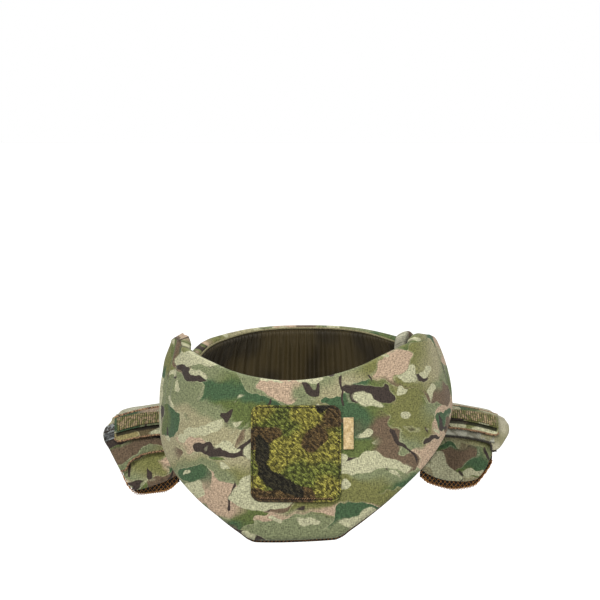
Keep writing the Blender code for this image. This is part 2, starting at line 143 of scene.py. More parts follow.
def addObject(name, points, faces, material, uvs, values):
    mesh = bpy.data.meshes.new(name)
    mesh.from_pydata(np.asarray(points, float).tolist(), [], [tuple(int(v) for v in f) for f in faces])
    corner = np.zeros(len(mesh.loops), np.int32)
    mesh.loops.foreach_get("vertex_index", corner)
    layer = mesh.uv_layers.new(name="cloth")
    layer.data.foreach_set("uv", np.asarray(uvs, float)[corner].astype(np.float32).ravel())
    for key, numbers in (values or {}).items():
        attribute = mesh.attributes.new(key, "FLOAT", "POINT")
        attribute.data.foreach_set("value", np.asarray(numbers, np.float32).ravel())
    mesh.shade_smooth()
    mesh.materials.append(material)
    mesh.update()
    made = bpy.data.objects.new(name, mesh)
    scene.collection.objects.link(made)
    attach(made, "root")
    return made


def addShell(name, outer, inner, uv, material, values=None):
    # two grids that meet all round their border make one closed cloth
    columns, rows = outer.shape[:2]
    count = columns * rows
    index = np.arange(count).reshape(columns, rows)
    under = index + count
    for edge in (np.s_[0, :], np.s_[-1, :], np.s_[:, 0], np.s_[:, -1]):
        under[edge] = index[edge]
    points = np.concatenate([outer.reshape(-1, 3), inner.reshape(-1, 3)])

    def quads(grid):
        return np.stack([grid[:-1, :-1], grid[1:, :-1], grid[1:, 1:], grid[:-1, 1:]], -1).reshape(-1, 4)

    faces = np.concatenate([quads(index), quads(under)[:, ::-1]])
    a, b, c, d = (points[faces[:, k]] for k in range(4))
    if (np.cross(b - a, c - a) * a).sum() + (np.cross(c - a, d - a) * a).sum() < 0:
        faces = faces[:, ::-1]
    used = np.unique(faces)
    renumber = np.zeros(2 * count, int)
    renumber[used] = np.arange(len(used))
    # a value given twice is one for the face and one for the back
    both = {}
    for key, numbers in (values or {}).items():
        pair = numbers if isinstance(numbers, tuple) else (numbers, numbers)
        both[key] = np.concatenate([np.ravel(part) for part in pair])[used]
    uvs = np.concatenate([uv.reshape(-1, 2)] * 2)[used]
    return addObject(name, points[used], renumber[faces], material, uvs, both)


def tubePoints(path, radius, sides):
    tangent = unit(np.gradient(path, axis=0))
    side = np.zeros_like(path)
    start = np.cross(tangent[0], (0.0, 0.0, 1.0))
    if np.linalg.norm(start) < 0.1:
        start = np.cross(tangent[0], (0.0, 1.0, 0.0))
    side[0] = unit(start)
    for k in range(1, len(path)):
        side[k] = unit(side[k - 1] - tangent[k] * (side[k - 1] @ tangent[k]))
    lift = np.cross(tangent, side)
    turn = np.linspace(0, 2 * math.pi, sides, endpoint=False)
    return path[:, None] + radius * (
        np.cos(turn)[None, :, None] * side[:, None] + np.sin(turn)[None, :, None] * lift[:, None])


def tubeFaces(count, sides, start=0):
    index = start + np.arange(count * sides).reshape(count, sides)
    follow = np.roll(index, -1, 1)
    faces = np.stack([index[:-1], follow[:-1], follow[1:], index[1:]], -1).reshape(-1, 4).tolist()
    return faces + [index[0][::-1].tolist(), index[-1].tolist()]


def alongPath(places, run, points):
    return np.stack([np.interp(places, run, points[:, k]) for k in range(3)], -1)


def addRope(name, path, radius, material, slotName, sides, pitch, depth):
    # a tube wrapped in thread, as an overlocked hem or a twisted piping
    run = arcLength(path)
    even = np.linspace(0, run[-1], max(8, int(run[-1] / pitch * 6)) + 1)
    path = alongPath(even, run, path)
    turn = np.linspace(0, 2 * math.pi, sides, endpoint=False)
    wave = np.abs(np.cos(math.pi * even[:, None] / pitch + turn[None]))
    size = radius * (1 - depth + depth * wave**0.7)
    centre = path[:, None]
    rings = centre + (tubePoints(path, 1.0, sides) - centre) * size[..., None]
    uvs = np.stack([np.repeat(even, sides), np.tile(turn * 0.001, len(path))], -1)
    made = addObject(name, rings.reshape(-1, 3), tubeFaces(len(path), sides), material, uvs, None)
    facesOut(made)
    return made


def facesOut(made):
    shape = bmesh.new()
    shape.from_mesh(made.data)
    bmesh.ops.recalc_face_normals(shape, faces=shape.faces[:])
    shape.to_mesh(made.data)
    shape.free()


def addFibres(name, middles, lifts, ways, lengths, heights, thick, material, uvs, shades):
    # short arches of yarn, all in one mesh: loop pile, stitches and fuzz
    count, steps, sides = len(middles), 4, 3
    t = np.linspace(0, 1, steps)
    across = unit(np.cross(lifts, ways))
    along = -np.cos(math.pi * t)[None, :, None] * 0.5
    rise = np.sin(math.pi * t)[None, :, None]
    line = (middles[:, None] + ways[:, None] * along * lengths[:, None, None]
            + lifts[:, None] * (rise * heights[:, None, None] - 0.0002))
    tangent = unit(np.gradient(line, axis=1))
    second = unit(np.cross(tangent, across[:, None]))
    turn = np.linspace(0, 2 * math.pi, sides, endpoint=False)
    size = (np.asarray(thick) / 2 * np.ones(count))[:, None, None, None]
    rings = line[:, :, None] + size * (
        np.cos(turn)[None, None, :, None] * across[:, None, None]
        + np.sin(turn)[None, None, :, None] * second[:, :, None])
    base = np.arange(steps * sides).reshape(steps, sides)
    follow = np.roll(base, -1, 1)
    quads = np.stack([base[:-1], follow[:-1], follow[1:], base[1:]], -1).reshape(-1, 4)
    shift = (np.arange(count) * steps * sides)[:, None, None]
    faces = (quads[None] + shift).reshape(-1, 4).tolist()
    faces += (base[0][::-1][None] + shift[:, 0]).tolist() + (base[-1][None] + shift[:, 0]).tolist()
    each = steps * sides
    return addObject(name, rings.reshape(-1, 3), faces, material, np.repeat(uvs, each, 0),
                     {"shade": np.repeat(shades, each)})


def stitchRow(name, path, lifts, pitch, share, thick, material, slant=0.0):
    # a row of single stitches along a path that lies on a face
    run = arcLength(path)
    count = max(2, int(run[-1] / pitch))
    at = (np.arange(count) + 0.5) * run[-1] / count
    middles = alongPath(at, run, path)
    up = unit(alongPath(at, run, lifts))
    way = unit(alongPath(at + 1e-4, run, path) - alongPath(at - 1e-4, run, path))
    way = unit(way + np.cross(up, way) * slant)
    return addFibres(name, middles, up, way, np.full(count, pitch * share), np.full(count, thick * 0.8),
                     thick, material, np.stack([at, 0 * at], -1), np.full(count, 0.5))


# Shader maths: sums and products of sockets add their nodes.

class Value:
    def __init__(self, shader, socket):
        self.shader, self.socket = shader, socket

    def sum(self, operation, first, second=0.0):
        return self.shader.node("ShaderNodeMath", {"operation": operation}, {0: first, 1: second})

    def __add__(self, other):
        return self.sum("ADD", self, other)

    def __radd__(self, other):
        return self.sum("ADD", other, self)

    def __sub__(self, other):
        return self.sum("SUBTRACT", self, other)

    def __rsub__(self, other):
        return self.sum("SUBTRACT", other, self)

    def __mul__(self, other):
        return self.sum("MULTIPLY", self, other)

    def __rmul__(self, other):
        return self.sum("MULTIPLY", other, self)

    def __abs__(self):
        return self.sum("ABSOLUTE", self)


class Shader:
    def __init__(self, name):
        self.material = bpy.data.materials.new(name)
        self.material.use_nodes = True
        self.tree = self.material.node_tree
        self.surface = self.tree.nodes["Principled BSDF"]

    def node(self, kind, settings=None, values=None, output=0):
        made = self.tree.nodes.new(kind)
        for key, setting in (settings or {}).items():
            setattr(made, key, setting)
        for key, value in (values or {}).items():
            self.put(made.inputs[key], value)
        return Value(self, made.outputs[output])

    def put(self, socket, value):
        if isinstance(value, Value):
            self.tree.links.new(value.socket, socket)
        elif isinstance(value, tuple) and len(value) == 3 and socket.type == "RGBA":
            socket.default_value = (*value, 1.0)
        else:
            socket.default_value = value

    def uv(self):
        return self.node("ShaderNodeUVMap", {"uv_map": "cloth"})

    def attribute(self, name):
        return self.node("ShaderNodeAttribute", {"attribute_name": name}, output=2)

    def vector(self, operation, first, second):
        return self.node("ShaderNodeVectorMath", {"operation": operation}, {0: first, 1: second})

    def stretch(self, vector, by):
        return self.vector("MULTIPLY", vector, by)

    def scaled(self, vector, by):
        return self.node("ShaderNodeVectorMath", {"operation": "SCALE"}, {0: vector, "Scale": by})

    def shift(self, vector, by):
        return self.vector("ADD", vector, by)

    def sine(self, value):
        return self.node("ShaderNodeMath", {"operation": "SINE"}, {0: value})

    def noise(self, vector, scale, detail, rough=0.5, output=0):
        return self.node("ShaderNodeTexNoise", {"noise_dimensions": "2D"},
                         {"Vector": vector, "Scale": scale, "Detail": detail, "Roughness": rough}, output)

    def mask(self, value, low, high, bottom=0.0, top=1.0):
        ends = {"From Min": low, "From Max": high, "To Min": bottom, "To Max": top}
        return self.node("ShaderNodeMapRange", {"interpolation_type": "SMOOTHSTEP"}, {"Value": value, **ends})

    def mix(self, factor, first, second):
        return self.node("ShaderNodeMix", {"data_type": "RGBA"}, {0: factor, 6: first, 7: second}, 2)

    def parts(self, vector):
        made = self.tree.nodes.new("ShaderNodeSeparateXYZ")
        self.tree.links.new(vector.socket, made.inputs[0])
        return [Value(self, out) for out in made.outputs]

    def finish(self, colour, roughness, height=None, **constants):
        self.put(self.surface.inputs["Base Color"], colour)
        self.put(self.surface.inputs["Roughness"], roughness)
        if height is not None:
            bump = self.node("ShaderNodeBump", {}, {"Height": height, "Strength": 1.0, "Distance": 1.0})
            self.put(self.surface.inputs["Normal"], bump)
        for key, value in constants.items():
            self.put(self.surface.inputs[key.replace("_", " ")], value)
        return self.material


def tone(red, green, blue):
    # a colour as a painter reads it, 0 to 255, made linear
    shares = [part / 255 for part in (red, green, blue)]
    return tuple(c / 12.92 if c <= 0.04 else ((c + 0.055) / 1.055)**2.4 for c in shares)


# The printed cloth: a generic woodland pattern, soft grounds under crisp shapes.

camo = {
    "khaki": tone(158, 151, 116), "moss": tone(116, 116, 66), "sage": tone(124, 130, 94),
    "tan": tone(182, 158, 132), "green": tone(66, 92, 60), "leaf": tone(92, 104, 54),
    "brown": tone(108, 90, 70), "bark": tone(60, 50, 43), "cream": tone(182, 180, 145),
    "warp": 0.0085, "stretch": (0.66, 1.34, 1.0), "grain": 1.0, "bright": 0.515,
    "weave": 0.0009, "seamShift": (0.61, 0.44, 0.0),
}


def clothGrain(s, place, depth):
    # slubs of the threads both ways, and a speckle of single yarns
    warpYarn = s.noise(s.stretch(place, (1150.0, 300.0, 1.0)), 1.0, 0.5)
    weftYarn = s.noise(s.stretch(place, (300.0, 1150.0, 1.0)), 1.0, 0.5)
    speckle = s.noise(place, 820.0, 0.5, 0.6)
    return (warpYarn + weftYarn - 1.0) * depth * 0.8 + (speckle - 0.5) * depth


def weaveHeight(s, place):
    turns = 2 * math.pi / camo["weave"]
    x, y, _ = s.parts(place)
    ribs = s.sine((x + y * 0.12) * turns)
    rows = s.sine((y - x * 0.12) * turns)
    return (ribs + rows) * 0.00003


def camoCloth(name, start, seamed=False, shaded=False, light=1.0, tones=None):
    c = {**camo, **(tones or {})}
    s = Shader(name)
    place = s.shift(s.uv(), (*start, 0.0))
    if seamed:
        seam = s.attribute("seam")
        place = s.shift(place, s.scaled(c["seamShift"], s.mask(seam, -0.0001, 0.0001)))
    wobble = s.noise(place, 42.0, 2.0, 0.5, 1)
    warped = s.shift(place, s.scaled(s.shift(wobble, (-0.5, -0.5, -0.5)), 2 * c["warp"]))
    wide = s.stretch(warped, c["stretch"])
    slim = s.stretch(warped, (0.55, 1.55, 1.0))
    tall = s.stretch(warped, (1.8, 0.50, 1.0))

    def field(dx, dy, scale, detail=0.0, over=None):
        return s.noise(s.shift(over or wide, (dx, dy, 0.0)), scale, detail, 0.45)

    def crisp(value, level):
        return s.mask(value, level, level + 0.008)

    def rimmed(colour, value, level, over, solid=1.0):
        # each shape has a thin pale line round it, as the print has
        line = s.mask(abs(value - (level - 0.004)), 0.0, 0.012, 0.32, 0.0)
        return s.mix(crisp(value, level) * solid, s.mix(line * solid, colour, c["cream"]), over)

    colour = s.mix(s.mask(field(1.3, 0.7, 12.0), 0.40, 0.60), c["khaki"], c["moss"])
    colour = s.mix(s.mask(field(5.9, 4.4, 15.0), 0.48, 0.62), colour, c["sage"])
    greens = s.mix(s.mask(field(2.9, 8.3, 22.0), 0.44, 0.58), c["green"], c["leaf"])
    for shape, level, over, veil, low, high in (
        ((4.1, 2.2, 19.0), 0.600, c["tan"], (8.8, 1.1, 25.0), 0.36, 0.50),
        ((7.7, 5.1, 23.0, 1.0), 0.550, greens, (0.8, 9.6, 24.0), 0.34, 0.52),
        ((9.4, 1.9, 21.0, 1.0), 0.610, c["brown"], (3.3, 6.6, 26.0), 0.36, 0.54),
    ):
        colour = rimmed(colour, field(*shape), level, over, s.mask(field(*veil), low, high))
    colour = rimmed(colour, field(12.2, 3.8, 25.0, 0.8, slim), 0.662, c["bark"])
    twigs = abs(field(6.4, 2.7, 17.0, 0.0, tall) - 0.5)
    width = s.mask(field(6.1, 11.5, 30.0), 0.58, 0.68) * 0.034
    colour = s.mix(s.mask(width - twigs, 0.0, 0.006), colour, c["bark"])
    colour = rimmed(colour, field(15.5, 9.9, 32.0, 0.0), 0.690, c["cream"])
    colour = rimmed(colour, field(18.5, 3.9, 62.0, 0.0), 0.760, c["cream"])
    grain = clothGrain(s, place, c["grain"])
    # light is painted light: it draws this copy of the cloth lighter or darker than the others
    gain = (grain + 1.0) * (light * c["bright"])
    height = weaveHeight(s, place) + grain * 0.00012
    if seamed:
        # painted shade: the cloth is drawn darker along the seam grooves
        groove = s.mask(abs(seam), 0.0, 0.0011)
        # a painted highlight along the top edge's crest, and painted shade over the back of the cloth
        edge = s.attribute("rim")
        lip = s.mask(abs(edge - 0.0009), 0.0003, 0.0007, 1.0, 0.0)
        behind = s.mask(edge, -0.0006, 0.0001, 0.45, 1.0)
        # painted shade: the cloth is drawn darker towards the hem
        _, up, _ = s.parts(s.uv())
        gain = gain * (groove * 0.45 + 0.55) * behind + lip * 0.10
        gain = gain * s.mask(up, -0.068, 0.010, 0.83, 1.0)
        height = height + groove * 0.0005
    if shaded:
        # the roll over the ridge is worn pale, and the gap under the facing is deep in shade
        worn = s.mix(s.noise(place, 40.0, 1.0), tone(188, 186, 164), tone(150, 148, 122))
        colour = s.mix(s.attribute("pale"), colour, worn)
        gain = gain * (1.0 - s.attribute("dark"))
    return s.finish(s.scaled(colour, gain), 0.86, height, Sheen_Weight=0.03, Sheen_Roughness=0.5,
                    Specular_IOR_Level=0.18)


def plainCloth(name, colour, second, grainDepth, roughness, spot, sheen=0.1, specular=0.25):
    s = Shader(name)
    place = s.uv()
    base = s.mix(s.mask(s.noise(place, spot, 2.0), 0.35, 0.65), colour, second)
    grain = clothGrain(s, place, grainDepth)
    return s.finish(s.scaled(base, (grain + 1.0) * camo["bright"]), roughness,
                    weaveHeight(s, place) + grain * 0.00012,
                    Sheen_Weight=sheen, Sheen_Roughness=0.5, Specular_IOR_Level=specular)


def meshCloth(name, strand, second, hollowShade, pitch, wide):
    # open diamonds of knitted yarn over a hollow, whose darkness is painted shade
    s = Shader(name)
    place = s.uv()
    x, y, _ = s.parts(place)
    one = abs(s.sine((x + y * 0.8) * (math.pi / pitch)))
    two = abs(s.sine((x - y * 0.8) * (math.pi / pitch)))
    closest = s.node("ShaderNodeMath", {"operation": "MINIMUM"}, {0: one, 1: two})
    cover = s.mask(closest, wide, wide + 0.2, 1.0, 0.0)
    yarn = s.mix(s.mask(s.noise(place, 700.0, 1.0), 0.38, 0.62), strand, second)
    return s.finish(s.scaled(s.mix(cover, hollowShade, yarn), camo["bright"]), 0.8, cover * 0.0005,
                    Specular_IOR_Level=0.25)


def threadCloth(name, colour, second):
    s = Shader(name)
    place = s.uv()
    base = s.mix(s.mask(s.noise(place, 620.0, 1.0), 0.38, 0.62), colour, second)
    return s.finish(s.scaled(base, camo["bright"]), 0.7, s.noise(place, 2500.0, 1.0) * 0.0001,
                    Specular_IOR_Level=0.3)


def fibreCloth(name, colour, blotches, gaps, dashed=False):
    # yarn of a pile: each blotch is (start, scale, low, high, colour), drawn over the last
    s = Shader(name)
    place = s.uv()
    wobble = s.noise(place, 60.0, 1.0, 0.5, 1)
    place = s.shift(place, s.scaled(s.shift(wobble, (-0.5, -0.5, -0.5)), 0.012))
    for start, scale, low, high, over in blotches:
        colour = s.mix(s.mask(s.noise(s.shift(place, (*start, 0.0)), scale, 0.5), low, high), colour, over)
    shade = s.attribute("shade") * (2 * gaps) + (1.0 - gaps)
    if dashed:
        # the yarns lie in short slanted rows, drawn with painted light and shade: bright rows against darker
        # gaps
        x, y, _ = s.parts(s.uv())
        slant = s.node("ShaderNodeCombineXYZ", {}, {0: (x + y) * 390.0, 1: (x - y) * 170.0})
        shade = shade * s.mask(s.noise(slant, 1.0, 0.3), 0.43, 0.57, 0.45, 1.55)
    return s.finish(s.scaled(colour, shade * camo["bright"]), 0.75, None,
                    Sheen_Weight=0.04, Sheen_Roughness=0.4, Specular_IOR_Level=0.15)


layers = {
    "padWall": 0.008, "meshWall": 0.004, "strapWall": 0.0026, "flapWall": 0.002,
    "gap": 0.0005, "strapLift": 0.0026, "flapLift": 0.0024, "strapEnd": 0.187, "strapDrop": 0.046,
    "strapBack": 0.030, "flapEnd": 0.1765, "flapDrop": 0.023, "flapBack": 0.022, "bandInset": 0.003,
    "ribPitch": 0.00195, "flapHem": ((0.00, 1.00), (0.85, 1.00), (0.96, 0.96), (1.00, 0.84)),
}


def ribbedWebbing():
    s = Shader("oliveRibbedWebbing")
    place = s.uv()
    x, _, _ = s.parts(place)
    ribs = abs(s.sine(x * (math.pi / layers["ribPitch"])))
    base = s.mix(s.mask(s.noise(place, 260.0, 1.0), 0.40, 0.60), tone(172, 150, 112), tone(120, 118, 66))
    flecks = s.mask(s.noise(s.stretch(place, (500.0, 900.0, 1.0)), 1.0, 1.0), 0.42, 0.60, 0.55, 1.0)
    # painted shade: the valleys between the ribs are drawn darker
    gain = (s.mask(ribs, 0.25, 0.80) * 0.75 + 0.28) * flecks * camo["bright"]
    return s.finish(s.scaled(base, gain), 0.85, None, Specular_IOR_Level=0.2)


looks = {
    "bib": camoCloth("printedBibCloth", (0.30, 0.42), seamed=True),
    # each light value paints its piece's copy of the printed cloth lighter or darker, as painted light
    "collar": camoCloth("printedCollarCloth", (2.10, 1.30), shaded=True, light=0.96),
    "padLeft": camoCloth("printedPadClothLeft", (5.20, 3.10), light=1.22),
    "padRight": camoCloth("printedPadClothRight", (8.10, 6.40), light=0.85),
    "strapLeft": camoCloth("printedStrapClothLeft", (11.30, 2.50), light=0.9),
    "strapRight": plainCloth(
        "paleStrapCloth", tone(166, 160, 134), tone(134, 130, 98), 0.6, 0.9, 45.0, 0.05),
    "flapLeft": camoCloth("printedFlapClothLeft", (17.20, 4.40), shaded=True, tones={
        "khaki": tone(172, 164, 116), "moss": tone(150, 146, 84), "sage": tone(150, 150, 102),
        "brown": tone(146, 134, 88), "green": tone(112, 122, 72), "leaf": tone(130, 130, 72),
        "tan": tone(180, 164, 124), "bark": tone(98, 86, 58)}),
    "flapRight": camoCloth("printedFlapClothRight", (16.10, 9.30), shaded=True),
    "strip": camoCloth("printedStripCloth", (21.70, 7.70), light=0.7),
    "lining": plainCloth("oliveSatinLining", tone(66, 55, 27), tone(44, 36, 16), 0.15, 0.55, 20.0, 0.0, 0.2),
    "meshBack": meshCloth(
        "darkSpacerMesh", tone(196, 140, 72), tone(128, 86, 40), tone(16, 11, 7), 0.0040, 0.16),
    "bibMesh": meshCloth(
        "bibSpacerMesh", tone(140, 102, 60), tone(104, 74, 42), tone(30, 21, 13), 0.0032, 0.3),
    "meshYarn": threadCloth("brownMeshYarn", tone(206, 148, 76), tone(140, 92, 44)),
    "hookLoop": plainCloth("oliveHookAndLoop", tone(92, 88, 58), tone(64, 60, 38), 0.5, 0.9, 200.0),
    "overlock": threadCloth("brownOverlockThread", tone(176, 138, 98), tone(76, 52, 32)),
    "piping": threadCloth("olivePiping", tone(146, 138, 100), tone(118, 110, 76)),
    "webbing": ribbedWebbing(),
    "darkThread": threadCloth("darkStitchThread", tone(52, 44, 28), tone(36, 30, 20)),
    "brownThread": threadCloth("brownStitchThread", tone(158, 122, 86), tone(96, 70, 46)),
    "label": plainCloth("bareWovenLabel", tone(212, 188, 142), tone(188, 162, 112), 0.6, 0.85, 240.0),
    "pile": fibreCloth("loopPatchYarn", tone(166, 158, 74), [
        ((1.0, 2.0), 30.0, 0.45, 0.62, tone(124, 132, 62)),
        ((3.4, 7.1), 19.0, 0.560, 0.575, tone(104, 84, 52)),
        ((8.8, 4.6), 20.0, 0.675, 0.687, tone(58, 54, 38)),
    ], 0.60, dashed=True),
    "fuzz": fibreCloth("paleFuzz", tone(186, 184, 166), [
        ((1.0, 2.0), 90.0, 0.52, 0.62, tone(128, 126, 108)),
    ], 0.6),
    "silverFuzz": fibreCloth("silverHookEnd", tone(158, 162, 160), [
        ((1.0, 2.0), 230.0, 0.50, 0.56, tone(62, 56, 48)),
    ], 0.7),
}
print("cloths ready:", len(looks))

# The throat bib.

bib = {
    "wall": 0.011, "turn": -4.5, "reach": 90.0, "tilt": 0.040, "rim": 0.0036, "columns": 300, "rows": 66,
    "arc": 0.128, "radius": 0.125, "runLevel": 0.02, "noSeam": -0.02, "farFromRim": 0.02,
    "hem": (
        (0.000, 0.000), (0.165, 0.002), (0.200, 0.015), (0.235, 0.042), (0.278, 0.072), (0.350, 0.123),
        (0.441, 0.186), (0.519, 0.243), (0.589, 0.292), (0.661, 0.345), (0.738, 0.401), (0.780, 0.432),
        (0.880, 0.520), (0.950, 0.600), (1.000, 0.700)),
    "top": (
        (0.00, 0.000), (0.08, 0.016), (0.23, 0.140), (0.345, 0.302), (0.459, 0.528), (0.573, 0.721),
        (0.67, 0.870), (0.78, 0.985), (0.86, 1.000), (0.93, 0.985), (0.97, 0.940), (1.00, 0.840)),
    "fine": (0.0, 0.0003, 0.0008, 0.0016, 0.0027, 0.0041, 0.0060, 0.0082),
    # the stuffed corners stand a little over the even curve, each in its own way: (angle, rise)
    "leftRise": (
        (0.0, 0.0), (67.6, 0.0), (69.2, 0.0076), (75.0, 0.0062), (80.0, 0.0062), (88.0, 0.0050),
        (95.0, 0.0040)),
    "leftSwell": (
        (0.0, 0.0), (0.060, 0.0), (0.0745, 0.0012), (0.0845, 0.0018), (0.0913, 0.0030), (0.101, 0.0034)),
    "rightRise": (
        (0.0, 0.0), (48.0, -0.0004), (55.0, -0.0016), (58.0, 0.0012), (61.0, 0.0016), (66.0, -0.0006),
        (71.0, -0.0026), (77.0, -0.0046), (86.0, -0.0062), (92.0, -0.0062)),
    "leftStrip": (
        (56.0, -0.003), (64.0, -0.001), (67.6, 0.001), (69.4, 0.0062), (75.0, 0.0058), (80.0, 0.0072),
        (85.0, 0.0100), (95.0, 0.0120)),
    "rightSeam": (
        (-0.066, 92.0), (0.000, 90.0), (0.020, 84.0), (0.036, 78.5), (0.056, 73.5), (0.076, 73.0),
        (0.087, 71.6), (0.104, 74.0)),
}


def bibEdge(which, angle):
    low, high = (ring["hemZ"], ring["cornerZ"]) if which == "hem" else (ring["throatZ"], ring["cornerZ"])
    share = smoothTable(bib[which], np.abs(angle - bib["turn"]) / bib["reach"])
    tilt = bib["tilt"] * ring["halfWidth"] * np.sin(np.radians(angle))
    return low + (high - low) * share + tilt


def bibTop(angle):
    rise = np.where(angle < 0, smoothTable(bib["leftRise"], -angle), smoothTable(bib["rightRise"], angle))
    return bibEdge("top", angle) + rise


def makeBib():
    arc = bib["arc"] * math.radians(2 * bib["reach"])
    along = edgeSteps(arc, bib["fine"], bib["columns"]) / arc
    angle = bib["turn"] + bib["reach"] * (2 * along - 1)
    hem, top = bibEdge("hem", angle), bibTop(angle)
    grid, z = fineGrid(angle, hem, top, bib)
    face = onRing(grid, z)
    run = arcLength(onRing(angle, bib["runLevel"] + 0 * angle))
    run -= np.interp(0.0, angle, run)
    slopeHem = np.gradient(hem, run)
    slopeTop = np.clip(np.gradient(bibEdge("top", angle), run), -1, 1)
    dHem = (z - hem[:, None]) / np.sqrt(1 + slopeHem**2)[:, None]
    dTop = (top[:, None] - z) / np.sqrt(1 + slopeTop**2)[:, None]
    dEnd = np.minimum(run - run[0], run[-1] - run)[:, None] + 0 * z
    rim = bib["rim"]
    # the left corner is boxed: above its seam the cloth leans back to the cap
    capShare = ease((-grid - 67.4) / 2.0)
    strip = np.where(grid < 0, smoothTable(bib["leftStrip"], -grid), bib["noSeam"])
    flat = 1 - (1 - np.clip(dTop / np.maximum(strip, rim), 0, 1))**1.25
    profile = pillow(dTop, rim) * (1 - capShare) + flat * capShare
    profile = profile * pillow(dHem, rim) * pillow(dEnd, rim)
    half = bib["wall"] / 2
    degree = math.radians(1)
    seamLeft = np.where(grid < -50, z - (top[:, None] - strip), bib["noSeam"])
    seamLeft = np.maximum(seamLeft, (-84.5 - grid) * degree * bib["radius"])
    seamRight = (grid - smoothTable(bib["rightSeam"], z)) * degree * bib["radius"]
    seam = np.maximum(seamLeft, seamRight)
    # soft hollows, the long folds near the left side and a slight ridge along the seams
    u, v = run[:, None] + 0 * z, z
    inside = ease((nearest(dHem, dTop, dEnd) - 0.001) / 0.012)
    wave = 0.00045 * np.sin(61 * u + 2.0 * np.sin(37 * v))
    wave = wave + 0.0004 * np.sin(83 * v + 3 * np.sin(29 * u) + 1.0) + 0.00025 * np.sin(150 * u + 90 * v)
    folds = 0.0008 * np.sin((grid + 59.5) / 6.3 * 2 * math.pi)
    folds = folds * ease((-grid - 58) / 5) * ease((z - 0.022) / 0.03)
    ridge = 0.0005 * np.exp(-(seam / 0.0013)**2) * (seam > -0.015)
    swell = smoothTable(bib["leftSwell"], z) * ease((-grid - 62) / 14)
    bulge = (wave + folds) * inside + ridge * ease(dEnd / 0.004) + swell
    normal = ringNormal(grid, z)
    outer = face - normal * (half - half * profile - bulge)[..., None]
    inner = face - normal * (half + half * profile - swell)[..., None]
    uv = np.stack([u, v * 1.02], -1)
    # a painted highlight along the top edge's crest, and painted shade over the back of the cloth, only
    # between the seams
    plain = np.abs(grid + 4) > 60
    rims = tuple(np.where(plain, bib["farFromRim"], distance) for distance in (dTop, -dTop))
    made = addShell("bib_cover", outer, inner, uv, looks["bib"], {"seam": seam, "rim": rims})
    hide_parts("front_bib")


makeBib()
print("bib made")


def sheetSize(points):
    # the cut's width, length and flat area, measured along a grid of the cloth
    width = max(arcLength(points[:, k])[-1] for k in range(0, points.shape[1], 4))
    length = max(arcLength(points[k])[-1] for k in range(0, points.shape[0], 4))
    a, b = points[1:, 1:] - points[:-1, :-1], points[:-1, 1:] - points[1:, :-1]
    area = float(np.linalg.norm(np.cross(a, b), axis=-1).sum() / 2)
    return (float(width), float(length)), min(area, float(width * length))


bibMesh = {
    "wall": 0.003, "gap": 0.0003, "reach": 54.3, "below": 0.0017, "clear": 0.0035, "columns": 150, "rows": 40,
}


def makeBibMesh():
    angle = bib["turn"] + np.linspace(-1, 1, bibMesh["columns"]) * bibMesh["reach"]
    low, high = bibEdge("hem", angle) - bibMesh["below"], bibEdge("top", angle) - bibMesh["clear"]
    grid, z = evenGrid(angle, low, high, bibMesh["rows"])
    start = bib["wall"] / 2 + 0.0012
    deep = bib["wall"] + bibMesh["gap"]
    near = ease((z - low[:, None]) / 0.006)
    u = np.radians(grid) * bib["radius"]
    edge = nearest(ease((z - low[:, None]) / 0.002), ease((high[:, None] - z) / 0.002),
                   ease((bibMesh["reach"] - np.abs(grid - bib["turn"])) / 0.9))
    outer = inRing(grid, z, start + (deep - start) * near + bibMesh["wall"] * 0.5 * (1 - edge))
    inner = inRing(grid, z, start + (deep - start) * near + bibMesh["wall"] * (0.5 + 0.5 * edge))
    made = addShell("bib_back_mesh", outer, inner, np.stack([u, z], -1), looks["bibMesh"])
    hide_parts("bib_mesh_backing")
    flat, area = sheetSize(outer)


makeBibMesh()

# The loop patch and the bare label.

patch = {
    "width": 0.0775, "height": 0.0815, "low": -0.0355, "wall": 0.0024, "corner": 0.0085, "gap": 0.0003,
    "loops": 8000, "stitchIn": 0.0020, "seed": 11, "columns": 62, "yarn": 0.00050, "keepIn": 0.0006,
}


def angleAt(x, z):
    x, z = np.broadcast_arrays(np.asarray(x, float), np.asarray(z, float))
    low, high = np.full(x.shape, -80.0), np.full(x.shape, 80.0)
    for _ in range(36):
        middle = (low + high) / 2
        left = onRing(middle, z)[..., 0] < x
        low, high = np.where(left, middle, low), np.where(left, high, middle)
    return (low + high) / 2


patch["middle"] = float(onRing(bib["turn"], patch["low"] + patch["height"] / 2)[0])


def onBib(x, z, out):
    return inRing(angleAt(x, z), z, -np.asarray(out) * np.ones(np.shape(x)))


def roundedReach(x, half, corner):
    # how much a rounded corner cuts off the edge at this distance from the middle
    over = np.clip(np.abs(x) - (half - corner), 0, corner)
    return corner - np.sqrt(corner**2 - over**2)


